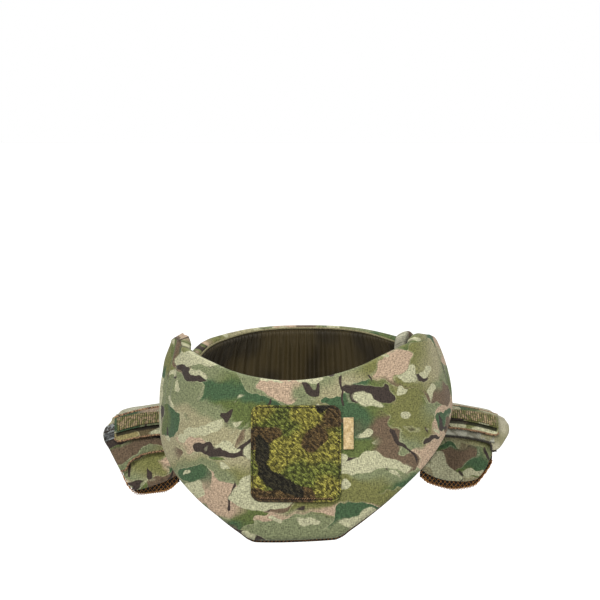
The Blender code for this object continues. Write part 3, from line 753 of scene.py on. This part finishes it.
def makePatch():
    half, tall = patch["width"] / 2, patch["height"]
    x = -half + edgeSteps(patch["width"], (0, 0.0002, 0.0006, 0.0013, 0.0022, 0.0034), patch["columns"])
    cut = roundedReach(x, half, patch["corner"])
    foot, head = (patch["low"] + cut)[:, None], (patch["low"] + tall - cut)[:, None]
    share = edgeSteps(1.0, (0, 0.003, 0.008, 0.016, 0.028, 0.044), patch["columns"])
    z = patch["low"] + cut[:, None] + (tall - 2 * cut)[:, None] * share
    xs = np.repeat(x[:, None], z.shape[1], 1)
    edge = nearest(half - np.abs(xs), z - foot, head - z)
    profile = pillow(edge, 0.0012)
    groove = np.exp(-((edge - patch["stitchIn"]) / 0.0007)**2)
    top = patch["gap"] + patch["wall"] * (0.5 + 0.42 * profile) - 0.0006 * groove
    base = patch["gap"] + patch["wall"] * (0.5 - 0.5 * profile)
    xw = xs + patch["middle"]
    outer, inner = onBib(xw, z, top), onBib(xw, z, base)
    # painted shade: the ground between the loops is drawn dark, darkest in the sewn groove
    made = addShell("loop_patch_ground", outer, inner, np.stack([xs, z], -1), looks["pile"],
                    {"shade": np.where(groove > 0.4, -0.1, 0.05) + 0 * xs})
    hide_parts("loop_patch")
    # the pile: short leaning loops, thinner along the sewn border
    rng = np.random.default_rng(patch["seed"])
    n = patch["loops"]
    px = rng.uniform(-half + patch["keepIn"], half - patch["keepIn"], n)
    pz = rng.uniform(patch["keepIn"], tall - patch["keepIn"], n)
    cutAt = roundedReach(px, half, patch["corner"])
    near = nearest(half - np.abs(px), pz - cutAt, tall - cutAt - pz)
    keep = (near > 0.0003) & (np.abs(near - patch["stitchIn"]) > 0.0007) & (pz > 0.0042)
    px, pz, near = px[keep], pz[keep] + patch["low"], near[keep]
    angle = angleAt(px + patch["middle"], pz)
    lift = ringNormal(angle, pz)
    sideways = unit(np.cross((0.0, 0.0, 1.0), lift))
    upward = np.cross(lift, sideways)
    lean = rng.choice([-1.0, 1.0], len(px), p=[0.72, 0.28]) * 0.70 + rng.normal(0, 0.30, len(px))
    way = unit(sideways * np.cos(lean)[:, None] + upward * np.sin(lean)[:, None])
    border = near < patch["stitchIn"]
    length = np.where(border, 0.0014, rng.uniform(0.0017, 0.0029, len(px)))
    height = np.where(border, 0.0004, rng.uniform(0.0004, 0.0012, len(px)))
    middles = onBib(px + patch["middle"], pz, patch["gap"] + patch["wall"] * 0.92)
    yarn = addFibres("loop_patch_pile", middles, lift, way, length, height, patch["yarn"], looks["pile"],
                     np.stack([px, pz], -1), rng.uniform(0, 1, len(px))**1.4)
    # its sewn line, a plain one on three sides and a zigzag along the bottom
    inset = patch["stitchIn"]
    corner = patch["corner"] - inset
    steps = []
    for cx, cz, first in ((1, 1, 0), (-1, 1, 90), (-1, -1, 180), (1, -1, 270)):
        for turn in np.radians(np.linspace(first, first + 90, 8)):
            steps.append((cx * (half - inset - corner) + corner * math.cos(turn),
                          tall / 2 + cz * (tall / 2 - inset - corner) + corner * math.sin(turn)))
    steps.append(steps[0])
    steps = np.array(steps)
    run = arcLength(steps)
    even = np.linspace(0, run[-1], 400)
    sx, sz = np.interp(even, run, steps[:, 0]), np.interp(even, run, steps[:, 1]) + patch["low"]
    sx = sx + patch["middle"]
    line = onBib(sx, sz, patch["gap"] + patch["wall"] * 0.88)
    thread = stitchRow("loop_patch_stitches", line, ringNormal(angleAt(sx, sz), sz), 0.0024, 0.8,
                       0.0006, looks["darkThread"])
    bx = np.linspace(-half + 0.008, half - 0.008, 120) + patch["middle"]
    bz = np.full(120, patch["low"] + inset + 0.0010)
    line = onBib(bx, bz, patch["gap"] + patch["wall"] + 0.0001)
    zig = stitchRow("loop_patch_zigzag", line, ringNormal(angleAt(bx, bz), bz), 0.0020, 1.0, 0.0009,
                    looks["brownThread"], slant=0.9)


makePatch()
print("loop patch made")

label = {"width": 0.0088, "step": 0.0018, "height": 0.027, "topDrop": 0.0105, "wall": 0.0011}


def makeLabel():
    left = patch["middle"] + patch["width"] / 2 + label["step"]
    top = patch["low"] + patch["height"] - label["topDrop"]
    x = left + np.linspace(0, label["width"], 24)
    z = np.linspace(top - label["height"], top, 50)
    xs, zs = np.meshgrid(x, z, indexing="ij")
    ends = nearest(zs - z[0], z[-1] - zs)
    profile = pillow(nearest(xs - left, left + label["width"] - xs, ends), 0.0005)
    u = (xs - left) / label["width"]
    lift = 0.0004 + 0.0008 * u**1.5 + 0.00015 * np.sin(zs * 260)
    hem = 0.00015 * (ends < 0.0016)
    outer = onBib(xs, zs, lift + label["wall"] * (0.5 + 0.5 * profile) + hem)
    inner = onBib(xs, zs, lift + label["wall"] * (0.5 - 0.5 * profile))
    made = addShell("bare_side_label", outer, inner, np.stack([xs, zs], -1), looks["label"])
    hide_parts("side_label")


makeLabel()
print("label made")

# The nape collar, its piping and its gathered lining.

collar = {
    "wall": 0.009, "front": 60.0, "lean": 0.0045, "leanCurve": 1.5, "leanFrom": 0.060, "closureWall": 0.002,
    "gap": 0.0003, "closureGap": 0.0007, "rim": 0.0042, "columns": 210, "rows": 34, "radius": 0.118,
    "upright": 0.0985, "swell": 0.0035,
    "top": (
        (0.00, 0.670), (0.10, 0.690), (0.24, 0.760), (0.30, 0.840), (0.36, 0.930), (0.42, 0.980),
        (0.50, 1.000), (1.00, 1.000)),
    "rightTop": (
        (0.00, 1.110), (0.02, 1.165), (0.06, 1.170), (0.12, 1.140), (0.20, 1.085), (0.40, 1.015),
        (0.60, 1.000), (1.00, 1.000)),
    "hem": (
        (0.00, -0.420), (0.06, -0.160), (0.15, 0.000), (0.30, 0.080), (0.50, 0.330), (0.75, 0.850),
        (1.00, 1.000)),
    "fine": (0.0, 0.0003, 0.0008, 0.0016, 0.0027, 0.0041, 0.0060),
}


def collarInset(z):
    share = np.clip((z - collar["leanFrom"]) / (ring["napeZ"] - collar["leanFrom"]), 0, 1)
    base = bib["wall"] + collar["closureGap"] + collar["closureWall"] + collar["gap"]
    return base + collar["lean"] * share**collar["leanCurve"]


def onCollar(angle, z, inset):
    # over the nape's height its tall right end stands upright
    level = np.minimum(z, collar["upright"])
    place = inRing(angle, level, inset)
    place[..., 2] += z - level
    return place


def endSwell(angle):
    # the right end is thicker where it stands behind the bib
    return collar["swell"] * ease((67 - angle) / 6)


def collarEdge(which, angle):
    share = 1 - np.abs(180 - angle) / (180 - collar["front"])
    if which == "hem":
        return ring["skirtZ"] * smoothTable(collar["hem"], share)
    # its right end stands tall behind the bib's corner
    tall = np.where(angle < 180, smoothTable(collar["rightTop"], share), smoothTable(collar["top"], share))
    return ring["napeZ"] * tall


def makeCollar():
    span = 360 - 2 * collar["front"]
    arc = collar["radius"] * math.radians(span)
    angle = collar["front"] + span * edgeSteps(arc, collar["fine"], collar["columns"]) / arc
    hem, top = collarEdge("hem", angle), collarEdge("top", angle)
    grid, z = fineGrid(angle, hem, top, collar)
    run = np.radians(angle - 180) * collar["radius"]
    dTop = (top[:, None] - z) / np.sqrt(1 + np.gradient(top, run)**2)[:, None]
    dHem = (z - hem[:, None]) / np.sqrt(1 + np.gradient(hem, run)**2)[:, None]
    dEnd = np.minimum(run - run[0], run[-1] - run)[:, None] + 0 * z
    profile = pillow(dTop, collar["rim"]) * pillow(dHem, collar["rim"]) * pillow(dEnd, collar["rim"])
    half = collar["wall"] / 2
    u = run[:, None] + 0 * z
    inside = ease((nearest(dHem, dTop, dEnd) - 0.001) / 0.01)
    wave = 0.0004 * np.sin(57 * u + 2 * np.sin(41 * z)) + 0.0003 * np.sin(97 * z + 2 * np.sin(33 * u))
    wave = wave * inside
    middle = collarInset(z) + half
    outer = onCollar(grid, z, middle - half * profile - wave)
    inner = onCollar(grid, z, middle + half * profile + endSwell(grid))
    made = addShell("collar_pad", outer, inner, np.stack([u, z], -1), looks["collar"],
                    {"pale": 0.85 * ease((66 - grid) / 1.5), "dark": 0 * z})
    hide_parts("nape_collar")


makeCollar()

lining = {
    "short": 3.0, "gap": 0.0006, "wall": 0.0010, "gathers": 0.0026, "columns": 620, "rows": 44, "rim": 0.0030,
    "radius": 0.105, "fineGathers": 0.0046, "wideGathers": 0.0105, "tuck": 0.0003,
}
piping = {"radius": 0.0009, "below": 0.0022, "above": 0.003, "out": 0.0001, "wrap": (0.0011, 0.22)}


def makeLining():
    ends = collar["front"] + lining["short"]
    angle = np.linspace(ends, 360 - ends, lining["columns"])
    low, high = collarEdge("hem", angle) + lining["rim"], collarEdge("top", angle) - lining["rim"]
    grid, z = evenGrid(angle, low, high, lining["rows"])
    # gathers: fine and deep at the piping, wide and soft lower down, and weaker on the right
    s = np.radians(grid - 180) * lining["radius"]
    down = (high[:, None] - z)
    turns = s * 2 * math.pi
    fineWave = 0.5 + 0.5 * np.sin(turns / lining["fineGathers"] + 1.7 * np.sin(s * 160) + down * 40)
    wideWave = 0.5 + 0.5 * np.sin(turns / lining["wideGathers"] + 2.1 * np.sin(s * 61) + 1.0)
    depth = 0.8 * np.exp(-down / 0.014) * fineWave + 1.1 * ease(down / 0.02) * wideWave
    depth = lining["gathers"] * depth * (0.35 + 0.65 * ease((grid - 120) / 60))
    edge = np.minimum(ease((z - low[:, None]) / 0.002), ease(down / 0.0015))
    edge = edge * ease((np.minimum(grid - ends, 360 - ends - grid)) / 1.5)
    face = collarInset(z) + collar["wall"] + lining["gap"] + endSwell(grid)
    outer = onCollar(grid, z, face + lining["tuck"] * (1 - edge))
    inner = onCollar(grid, z, face + lining["tuck"] + (lining["wall"] + depth) * edge)
    made = addShell("gathered_lining", inner, outer, np.stack([s, z], -1), looks["lining"])
    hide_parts("collar_lining")
    flat, area = sheetSize(inner)

    # piping where the lining meets the collar's cloth, along the rim and up both ends
    def addPiping(name, at, level):
        line = onCollar(at, level, collarInset(level) + collar["wall"] + endSwell(at) + piping["out"])
        addRope(name, line, piping["radius"], looks["piping"], "olive_lining", 8, *piping["wrap"])

    rim = np.linspace(ends, 360 - ends, 300)
    addPiping("collar_rim_piping", rim, collarEdge("top", rim) - piping["below"])
    for tag, at in (("right", ends), ("left", 360 - ends)):
        at = np.full(40, at)
        foot, head = collarEdge("hem", at[0]) + piping["above"], collarEdge("top", at[0]) - piping["below"]
        addPiping("collar_end_piping_" + tag, at, np.linspace(foot, head, 40))


makeLining()
print("collar made")

closure = {
    "span": 13.5, "low": 0.028, "high": 0.060, "clear": 1.0, "wall": 0.002, "radius": 0.12, "steps": 40,
}


def makeClosures():
    start = collar["front"] + abs(bib["turn"]) + closure["clear"]
    for tag, side in (("right", 1), ("left", -1)):
        angle = bib["turn"] + side * np.linspace(start, start + closure["span"], closure["steps"])
        z = np.linspace(closure["low"], closure["high"], closure["steps"])
        grid, zs = np.meshgrid(angle, z, indexing="ij")
        u = np.radians(grid) * closure["radius"]
        edge = nearest(zs - z[0], z[-1] - zs, np.abs((u - u[0, 0]) * (u[-1, 0] - u)) * 60)
        profile = pillow(edge, 0.0006)
        tufts = 0.00012 * np.sin(u * 4000) * np.sin(zs * 4200)
        middle = bib["wall"] + collar["closureGap"] + closure["wall"] / 2
        outer = inRing(grid, zs, middle - closure["wall"] / 2 * profile - tufts * profile)
        inner = inRing(grid, zs, middle + closure["wall"] / 2 * profile)
        uv = np.stack([u, zs], -1)
        made = addShell("hook_and_loop_" + tag, outer, inner, uv, looks["hookLoop"])
        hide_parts("closure_strip_" + tag)
        flat, area = sheetSize(outer)


makeClosures()
print("closures made")

# The shoulder wings.

wing = {
    "y": 0.064, "ridgeZ": 0.0195, "rootX": 0.133, "slope": 4.0, "droop": 3.0, "frontReach": 0.044,
    "backReach": 0.046, "frontDrop": 0.0725, "backDrop": 0.052, "square": 2.3, "inner": 0.080, "end": 0.1745,
    "lean": 0.10, "rootGap": 0.0011, "tuck": 0.0125, "tuckFrom": 0.034, "tuckOver": 0.022, "width": 0.085,
}
wing["padFront"] = wing["frontDrop"] - 0.0075
wing["padBack"] = 0.86 * wing["backDrop"]


def arch(share):
    share = np.asarray(share, float)
    reach = np.where(share < 0, -wing["backReach"], wing["frontReach"])
    drop = np.where(share < 0, wing["backDrop"], wing["frontDrop"])
    turn = np.clip(np.abs(share), 0, 1) * math.pi / 2
    power = 2 / wing["square"]
    return reach * np.abs(np.sin(turn))**power, drop * (1 - np.abs(np.cos(turn))**power)


def shareFor(drop, whole):
    rest = np.clip(1 - np.asarray(drop, float) / whole, 0, 1)
    return np.arccos(rest**(wing["square"] / 2)) / (math.pi / 2)


def onWing(x, share, out):
    x, share, out = np.broadcast_arrays(np.asarray(x, float), share, out)

    def face(x, share):
        reach, drop = arch(share)
        away = x - wing["rootX"]
        fall = away * math.tan(math.radians(wing["slope"]))
        ridge = wing["ridgeZ"] - fall - wing["droop"] * np.clip(away, 0, None)**2
        return np.stack([x, wing["y"] - reach, ridge - drop], -1)

    place = np.clip(share, -0.99, 0.99)
    across = face(x + 0.01, share) - face(x - 0.01, share)
    along = face(x, place + 0.01) - face(x, place - 0.01)
    return face(x, share) + unit(np.cross(along, across)) * out[..., None]


def collarSide(y, z):
    low, high = np.full(y.shape, 70.0), np.full(y.shape, 179.0)
    inset = collarInset(z)
    for _ in range(26):
        middle = (low + high) / 2
        behind = inRing(middle, z, inset)[..., 1] < y
        low, high = np.where(behind, middle, low), np.where(behind, high, middle)
    return inRing((low + high) / 2, z, inset)[..., 0] + wing["rootGap"]


def wingRoot(place, out):
    start = np.full(np.shape(place), wing["inner"])
    for _ in range(5):
        near = onWing(start, place, out)
        start = start + np.maximum(wing["inner"], collarSide(near[..., 1], near[..., 2])) - near[..., 0]
    return start


def wingStart(place, out, side):
    # the right wing's front reaches further in, under the bib
    first = wingRoot(place, out)
    if side > 0:
        low = ease((arch(place)[1] - wing["tuckFrom"]) / wing["tuckOver"])
        first = first - wing["tuck"] * low * (place > 0)
    return first


legPlaces = np.linspace(-1, 1, 801)
legReach, legDrop = arch(legPlaces)
legRun = arcLength(np.stack([legReach, legDrop], -1))
legRun -= np.interp(0.0, legPlaces, legRun)


def wingSheet(name, side, hems, ends, lifts, wall, look, columns, rows, rim,
              relief=None, starts=None, tints=None):
    # hems(u) gives the places of the back and front edge, ends(drop) the outer end and
    # lifts(place, u) the under side
    fine = np.array((0, 0.15, 0.5, 1.1, 1.9)) * rim
    us = edgeSteps(1.0, fine / wing["width"], columns)
    runs = [np.interp(edge, legPlaces, legRun) for edge in hems(us)]
    v = np.stack([b + edgeSteps(f - b, fine, rows) for b, f in zip(*runs)])
    place = np.interp(v, legRun, legPlaces)
    u = np.repeat(us[:, None], v.shape[1], 1)
    under = lifts(place, u)
    first = wingStart(place, under, side)
    if starts:
        first = np.maximum(first, starts(place))
    drop = np.sign(place) * arch(place)[1]
    last = ends(drop)
    x = first + (last - first) * u
    edge = nearest(v - v[:, :1], v[:, -1:] - v, (1 - u) * (last - first), u * (last - first))
    profile = pillow(edge, rim)
    extra = relief(x, v, u, place, edge) if relief else 0 * x
    outer = onWing(x, place, under + wall * (0.5 + 0.5 * profile) + extra)
    inner = onWing(x, place, under + wall * (0.5 - 0.5 * profile))
    mirror = np.array([side, 1, 1])
    values = tints(place, u, v) if tints else None
    uv = np.stack([x * side, v], -1)
    made = addShell(name, outer * mirror, inner * mirror, uv, looks[look], values)
    return made, outer * mirror


def hemPlaces(table, drops):
    # places of a layer's back and front edge at a width share
    def edges(u):
        share = smoothTable(table, u)
        return -shareFor(drops[1] * share, wing["backDrop"]), shareFor(drops[0] * share, wing["frontDrop"])
    return edges


# each wing as it lies in its own way: places are drops below the ridge, at the root and at the end
sides = {
    "left": {
        "side": -1, "strip": (0.0014, 0.0034), "bandTop": (0.0064, 0.0050), "bandLow": (0.0134, 0.0148),
        "lip": (0.0150, 0.0156), "flapHem": 0.0218,
        "strapHem": ((0.00, 0.73), (0.50, 0.75), (0.80, 0.86), (0.93, 0.98), (1.00, 0.97)),
        "strapSide": ((-1.00, 0.900), (0.00, 0.955), (0.10, 0.985), (0.20, 1.000), (0.30, 0.995),
                      (0.50, 0.968), (0.75, 0.938), (1.00, 0.908)),
        "padHem": ((0.0, 0.86), (0.13, 0.909), (0.31, 0.962), (0.55, 1.006), (0.70, 1.017), (0.78, 1.015),
                   (0.85, 0.972), (0.90, 0.928), (0.955, 0.805), (1.0, 0.690)),
        "meshHem": ((0.0, 0.88), (0.14, 0.952), (0.29, 0.993), (0.54, 0.998), (0.72, 0.985), (0.80, 0.950),
                    (0.86, 0.895), (0.92, 0.815), (1.0, 0.620)),
        "humps": ((0.16, 0.26, 0.0010), (0.82, 0.14, 0.0008), (0.58, 0.10, -0.0012)), "fuzz": None,
        "endFuzz": (0.0050, 0.0165), "hemSize": 0.0013, "hemLook": "overlock", "hemPitch": 0.0013,
        "edgeSize": 0.0018, "edgePitch": 0.0023,
    },
    "right": {
        "side": 1, "strip": (0.0012, 0.0012), "bandTop": (0.0052, 0.0036), "bandLow": (0.0108, 0.0112),
        "lip": (0.0116, 0.0118), "flapHem": 0.0168,
        "strapHem": ((0.00, 0.474), (0.55, 0.463), (0.82, 0.475), (0.91, 0.552), (0.95, 0.600),
                     (1.00, 0.570)),
        "strapSide": ((-1.0, 0.900), (-0.2, 0.965), (0.0, 0.990), (0.06, 1.002), (0.14, 1.000), (0.33, 0.976),
                      (0.50, 0.949), (0.60, 0.925), (1.00, 0.880)),
        "padHem": ((0.0, 0.812), (0.10, 0.860), (0.26, 0.912), (0.41, 0.935), (0.62, 0.925), (0.77, 0.878),
                   (0.82, 0.842), (0.905, 0.689), (0.95, 0.569), (1.0, 0.435)),
        "meshHem": ((0.0, 0.825), (0.10, 0.886), (0.26, 0.928), (0.47, 0.956), (0.62, 0.928), (0.78, 0.862),
                    (0.86, 0.752), (0.93, 0.625), (1.0, 0.480)),
        "humps": ((0.30, 0.40, 0.0006),), "fuzz": (0.0115, 0.0215), "endFuzz": None,
        "hemSize": 0.0014, "hemLook": "darkThread", "hemPitch": 0.0027,
        "edgeSize": 0.0011, "edgePitch": 0.0013,
    },
}


def padEnd(drop):
    return wing["end"] - wing["lean"] * np.clip(drop, 0, None)


def flapEnd(drop):
    return layers["flapEnd"] - wing["lean"] * np.clip(drop, 0, None)


def strapEnd(drop, table):
    whole = np.where(drop > 0, layers["strapDrop"], layers["strapBack"])
    return layers["strapEnd"] * smoothTable(table, drop / whole)


def strapOut(place):
    whole = float(shareFor(layers["strapDrop"], wing["frontDrop"]))
    return layers["gap"] + layers["strapLift"] * ease(place / whole)


def flapOut(place):
    lift = layers["flapLift"] * ease(place / float(shareFor(layers["flapDrop"], wing["frontDrop"])))
    return strapOut(place) + layers["strapWall"] + layers["gap"] + lift


def hemRope(name, face, column, radius, look, pitch):
    # thread wrapped over a cloth's edge: column -1 is the front hem, 0 the back hem
    return addRope(name, face[:, column], radius, looks[look], "camo_fabric", 7, pitch, 0.35)


def makeWing(tag):
    side, own = sides[tag]["side"], sides[tag]

    def places(pair):
        return lambda u: shareFor(pair[0] + (pair[1] - pair[0]) * u, wing["frontDrop"])

    def padRelief(x, v, u, place, edge):
        puckers = 0.0006 * np.sin(x * 2 * math.pi / 0.0052 + 9 * u) * np.exp(-edge / 0.005) * (place > 0.5)
        wrinkle = 0.0008 * np.sin(v * 150 + x * 70 * side + 2 * np.sin(x * 90))
        wrinkle = wrinkle * ease(edge / 0.01) * ease(place / 0.4)
        return puckers + wrinkle + 0.0006 * ease(edge / 0.02) * (place > 0)

    which = tag.capitalize()
    padHems = hemPlaces(own["padHem"], (wing["padFront"], wing["padBack"]))
    pad, _ = wingSheet(
        "shoulder_pad_cover_" + tag, side, padHems, padEnd, lambda place, u: 0 * place - layers["padWall"],
        layers["padWall"], "pad" + which, 90, 110, rim=0.0034, relief=padRelief)
    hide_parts("shoulder_pad_" + tag)

    meshHems = hemPlaces(own["meshHem"], (wing["frontDrop"], wing["padBack"] + 0.0015))
    mesh, _ = wingSheet(
        "shoulder_mesh_cover_" + tag, side, meshHems, lambda drop: padEnd(drop) + 0.0014 * (side > 0),
        lambda place, u: 0 * place - layers["padWall"] - layers["gap"] - layers["meshWall"],
        layers["meshWall"], "meshBack", 80, 90, rim=0.0018)
    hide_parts("shoulder_mesh_" + tag)
    makeLattice(tag, side, meshHems)

    def strapRelief(x, v, u, place, edge):
        fold = 0.0013 * np.exp(-(((x - 0.170) + 0.35 * (v - 0.03)) / 0.003)**2) * (place > 0.1)
        crease = 0.0008 * np.exp(-(((x - 0.158) + 0.6 * (v - 0.045)) / 0.002)**2) * (place > 0.1)
        return fold + crease + 0.0006 * np.sin(v * 190 + x * 120) * ease(edge / 0.006)

    strapHems = hemPlaces(own["strapHem"], (layers["strapDrop"], layers["strapBack"]))
    strap, strapFace = wingSheet(
        "wrap_strap_cloth_" + tag, side, strapHems, lambda drop: strapEnd(drop, own["strapSide"]),
        lambda place, u: strapOut(place), layers["strapWall"], "strap" + which,
        80, 80, rim=0.0012, relief=strapRelief)
    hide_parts("wrap_strap_" + tag)
    hem = hemRope("wrap_strap_hem_" + tag, strapFace, -1, own["hemSize"], own["hemLook"], own["hemPitch"])
    flat, area = sheetSize(strapFace)

    def flapRelief(x, v, u, place, edge):
        swell = sum(high * np.exp(-((u - at) / wide)**2) for at, wide, high in own["humps"])
        roll = swell * np.exp(-((v - 0.001) / 0.009)**2)
        droop = -0.0030 * ease((u - 0.90) / 0.10)**2 * np.exp(-(v / 0.02)**2)
        hemRoll = 0.0006 * np.exp(-(edge / 0.0035)**2) * (place > 0)
        return roll + droop + hemRoll + 0.0003 * np.sin(x * 160 + v * 90) * ease(edge / 0.006)

    def flapTints(place, u, v):
        drop = np.sign(place) * arch(place)[1]
        lip = own["lip"][0] + (own["lip"][1] - own["lip"][0]) * u
        # painted shade: the flap is drawn dark in the gap under the facing's lip
        gap = ease((drop - lip + 0.0015) / 0.001) * (1 - ease((drop - lip - 0.0018) / 0.0006))
        pale = 0.9 * (1 - ease((drop - 0.004) / 0.002)) * ease((drop + 0.014) / 0.008)
        return {"dark": 0.86 * gap * (u < 0.97), "pale": pale}

    flapHems = hemPlaces(layers["flapHem"], (own["flapHem"], layers["flapBack"]))
    flap, flapFace = wingSheet(
        "cover_flap_cloth_" + tag, side, flapHems, flapEnd, lambda place, u: flapOut(place),
        layers["flapWall"], "flap" + which, 80, 110, rim=0.0010,
        relief=flapRelief, tints=flapTints)
    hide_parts("cover_flap_" + tag)
    hem = hemRope("cover_flap_hem_" + tag, flapFace, -1, 0.0011, "overlock", 0.0013)
    flat, area = sheetSize(flapFace)

    # the facing with its overlocked top edge stands off the flap at its free lower lip
    stripTop, stripLow = places(own["strip"]), places(own["lip"])
    lowest = max(own["lip"])

    def facingOut(place, u):
        drop = arch(place)[1]
        return flapOut(place) + layers["flapWall"] + 0.0002 + 0.0011 * ease((drop - lowest + 0.006) / 0.006)

    strip, stripFace = wingSheet(
        "flap_facing_" + tag, side, lambda u: (stripTop(u), stripLow(u)), lambda drop: flapEnd(drop) - 0.0006,
        facingOut, 0.0009, "strip", 60, 40, rim=0.0005)
    edge = hemRope("flap_facing_edge_" + tag, stripFace, 0, own["edgeSize"], "overlock", own["edgePitch"])
    flat, area = sheetSize(stripFace)

    def ribs(x, v, u, place, edge):
        rib = np.abs(np.sin(x * math.pi / layers["ribPitch"]))
        return 0.0006 * rib**0.8 * ease(edge / 0.0006)

    bandTop, bandLow = places(own["bandTop"]), places(own["bandLow"])
    band, bandFace = wingSheet(
        "ribbed_webbing_" + tag, side, lambda u: (bandTop(u), bandLow(u)),
        lambda drop: flapEnd(drop) - layers["bandInset"],
        lambda place, u: facingOut(place, u) + 0.0011, 0.0009, "webbing",
        240, 24, rim=0.0005, relief=ribs)
    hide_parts("webbing_band_" + tag)
    flat, area = sheetSize(bandFace)

    for key, look, reach in (("fuzz", "fuzz", (0.0, 0.172)), ("endFuzz", "silverFuzz", (0.1735, 0.1860))):
        if own[key]:
            makeFuzz(key + "_" + tag, side, own, key, reach, look)


fuzz = {"seed": 5, "fibres": 700, "from": 0.134, "thick": 0.00022}


def makeFuzz(name, side, own, key, reach, look):
    # the brushed loop side of the strap, where it shows: drawn dark with painted shade along its upper edge,
    # or at its lower end
    drops = own[key]
    back, front = (float(shareFor(d, wing["frontDrop"])) for d in drops)

    # the fuzz's own pale tone, with bands of painted shade
    def toneWithPaintedShade(drop):
        if key == "fuzz":
            rise = 0.50 * ease((drop - drops[0] - 0.0012) / 0.0022)
            return 0.15 + rise - 0.6 * ease((drop - drops[1] + 0.0009) / 0.0005)
        dip = 0.55 * ease((drop - 0.0105) / 0.0012)
        return 0.62 - dip + 0.5 * ease((drop - drops[1] + 0.0010) / 0.0005)

    base, face = wingSheet(
        "brushed_" + name, side, lambda u: (back + 0 * u, front + 0 * u),
        lambda drop: np.minimum(reach[1], strapEnd(drop, own["strapSide"]) - 0.0006),
        lambda place, u: strapOut(place) + layers["strapWall"] + 0.0002, 0.0005, look,
        30, 16, rim=0.0002, starts=lambda place: reach[0] + 0 * place,
        tints=lambda place, u, v: {"shade": toneWithPaintedShade(arch(place)[1])})
    rng = np.random.default_rng(fuzz["seed"])
    n = fuzz["fibres"]
    long = reach[1] - max(reach[0], fuzz["from"])
    drop = rng.uniform(drops[0], drops[1], n)
    x = np.minimum(reach[1], strapEnd(drop, own["strapSide"]) - 0.0008) - rng.uniform(0, long, n)
    share = shareFor(drop, wing["frontDrop"])
    out = strapOut(share) + layers["strapWall"] + 0.0006
    mirror = np.array([side, 1, 1])
    foot = onWing(x, share, out) * mirror
    lift = unit(onWing(x, share, out + 0.001) * mirror - foot)
    way = unit(rng.normal(0, 1, (n, 3)))
    way = unit(way - lift * (way * lift).sum(-1, keepdims=True))
    fibres = addFibres("brushed_fibres_" + name, foot, lift, way, rng.uniform(0.001, 0.0024, n),
                       rng.uniform(0.0003, 0.0011, n), fuzz["thick"], looks[look],
                       np.stack([x, drop], -1), np.clip(toneWithPaintedShade(drop) * rng.uniform(0.5, 1.6, n), 0, 1))
    flat, area = sheetSize(face)


lattice = {"depth": 0.0024, "radius": 0.00042, "steps": 25, "sides": 5}


def makeLattice(tag, side, hems):
    # open strands of the spacer mesh where it shows below the pad
    us = np.linspace(0.02, 0.999, lattice["steps"])
    end = np.interp(hems(us)[1], legPlaces, legRun)
    points, faces = [], []
    for phase in (0, 1):
        level = (np.arange(len(us)) + phase) % 2 * lattice["depth"]
        place = np.interp(end + 0.0006 - level, legRun, legPlaces)
        out = np.full(len(us), -layers["padWall"] - layers["gap"] + 0.0004)
        out[0::2] += 0.0003
        first = wingStart(place, out, side)
        last = padEnd(np.sign(place) * arch(place)[1]) + 0.0012
        path = onWing(first + (last - first) * us, place, out) * np.array([side, 1, 1])
        faces += tubeFaces(len(us), lattice["sides"], len(points))
        points += tubePoints(path, lattice["radius"], lattice["sides"]).reshape(-1, 3).tolist()
    uvs = np.array(points)[:, [0, 2]]
    name = "shoulder_mesh_strands_" + tag
    made = addObject(name, points, faces, looks["meshYarn"], uvs, None)
    facesOut(made)


for tag in sides:
    makeWing(tag)
print("wings made")

# The camera, the light and a plain pale floor.

shot = {
    "aim": (-0.00591, 0.01109, 0.12679), "distance": 2.2, "elevation": 5.0, "sensor": 36.0,
    "focalPixels": 2420, "photoPixels": 600, "floorRough": 0.9,
    "floorZ": -0.42, "floorSize": 60.0, "floorTone": tone(205, 205, 204), "sky": 1.0,
}


def makeShot():
    lens = bpy.data.cameras.new("camera")
    lens.lens = shot["focalPixels"] / shot["photoPixels"] * shot["sensor"]
    lens.sensor_width = shot["sensor"]
    eye = bpy.data.objects.new("camera", lens)
    scene.collection.objects.link(eye)
    up = math.radians(shot["elevation"])
    aim = Vector(shot["aim"])
    eye.location = aim + Vector((0, -math.cos(up), math.sin(up))) * shot["distance"]
    eye.rotation_euler = (aim - eye.location).to_track_quat("-Z", "Y").to_euler()
    scene.camera = eye

    half = shot["floorSize"] / 2
    s = Shader("paleFloor")
    place = s.node("ShaderNodeTexCoord", output=3)
    darker = tuple(0.98 * part for part in shot["floorTone"])
    pale = s.mix(s.noise(place, 3.0, 2.0), shot["floorTone"], darker)
    corners = [(half * x, half * y, shot["floorZ"]) for x, y in ((-1, -1), (1, -1), (1, 1), (-1, 1))]
    mesh = bpy.data.meshes.new("floor")
    mesh.from_pydata(corners, [], [(0, 1, 2, 3)])
    mesh.materials.append(s.finish(pale, shot["floorRough"]))
    floor = bpy.data.objects.new("floor", mesh)
    scene.collection.objects.link(floor)

    world = bpy.data.worlds.new("studio")
    scene.world = world
    world.use_nodes = True
    background = world.node_tree.nodes["Background"]
    background.inputs[0].default_value = (1, 1, 1, 1)
    background.inputs[1].default_value = shot["sky"]
    scene.view_settings.view_transform = "Standard"

    for name, azimuth, elevation, soft, strength in (
        ("keyLight", -22.0, 42.0, 28.0, 3.1),
        ("fillLight", 38.0, 16.0, 40.0, 1.35),
        ("backLight", 160.0, 60.0, 40.0, 0.9),
    ):
        lamp = bpy.data.lights.new(name, "SUN")
        lamp.angle = math.radians(soft)
        lamp.energy = strength
        made = bpy.data.objects.new(name, lamp)
        a, e = math.radians(azimuth), math.radians(elevation)
        made.location = Vector((math.sin(a) * math.cos(e), -math.cos(a) * math.cos(e), math.sin(e))) * 2
        made.rotation_euler = made.location.to_track_quat("Z", "Y").to_euler()
        scene.collection.objects.link(made)


makeShot()
print("camera and light ready")
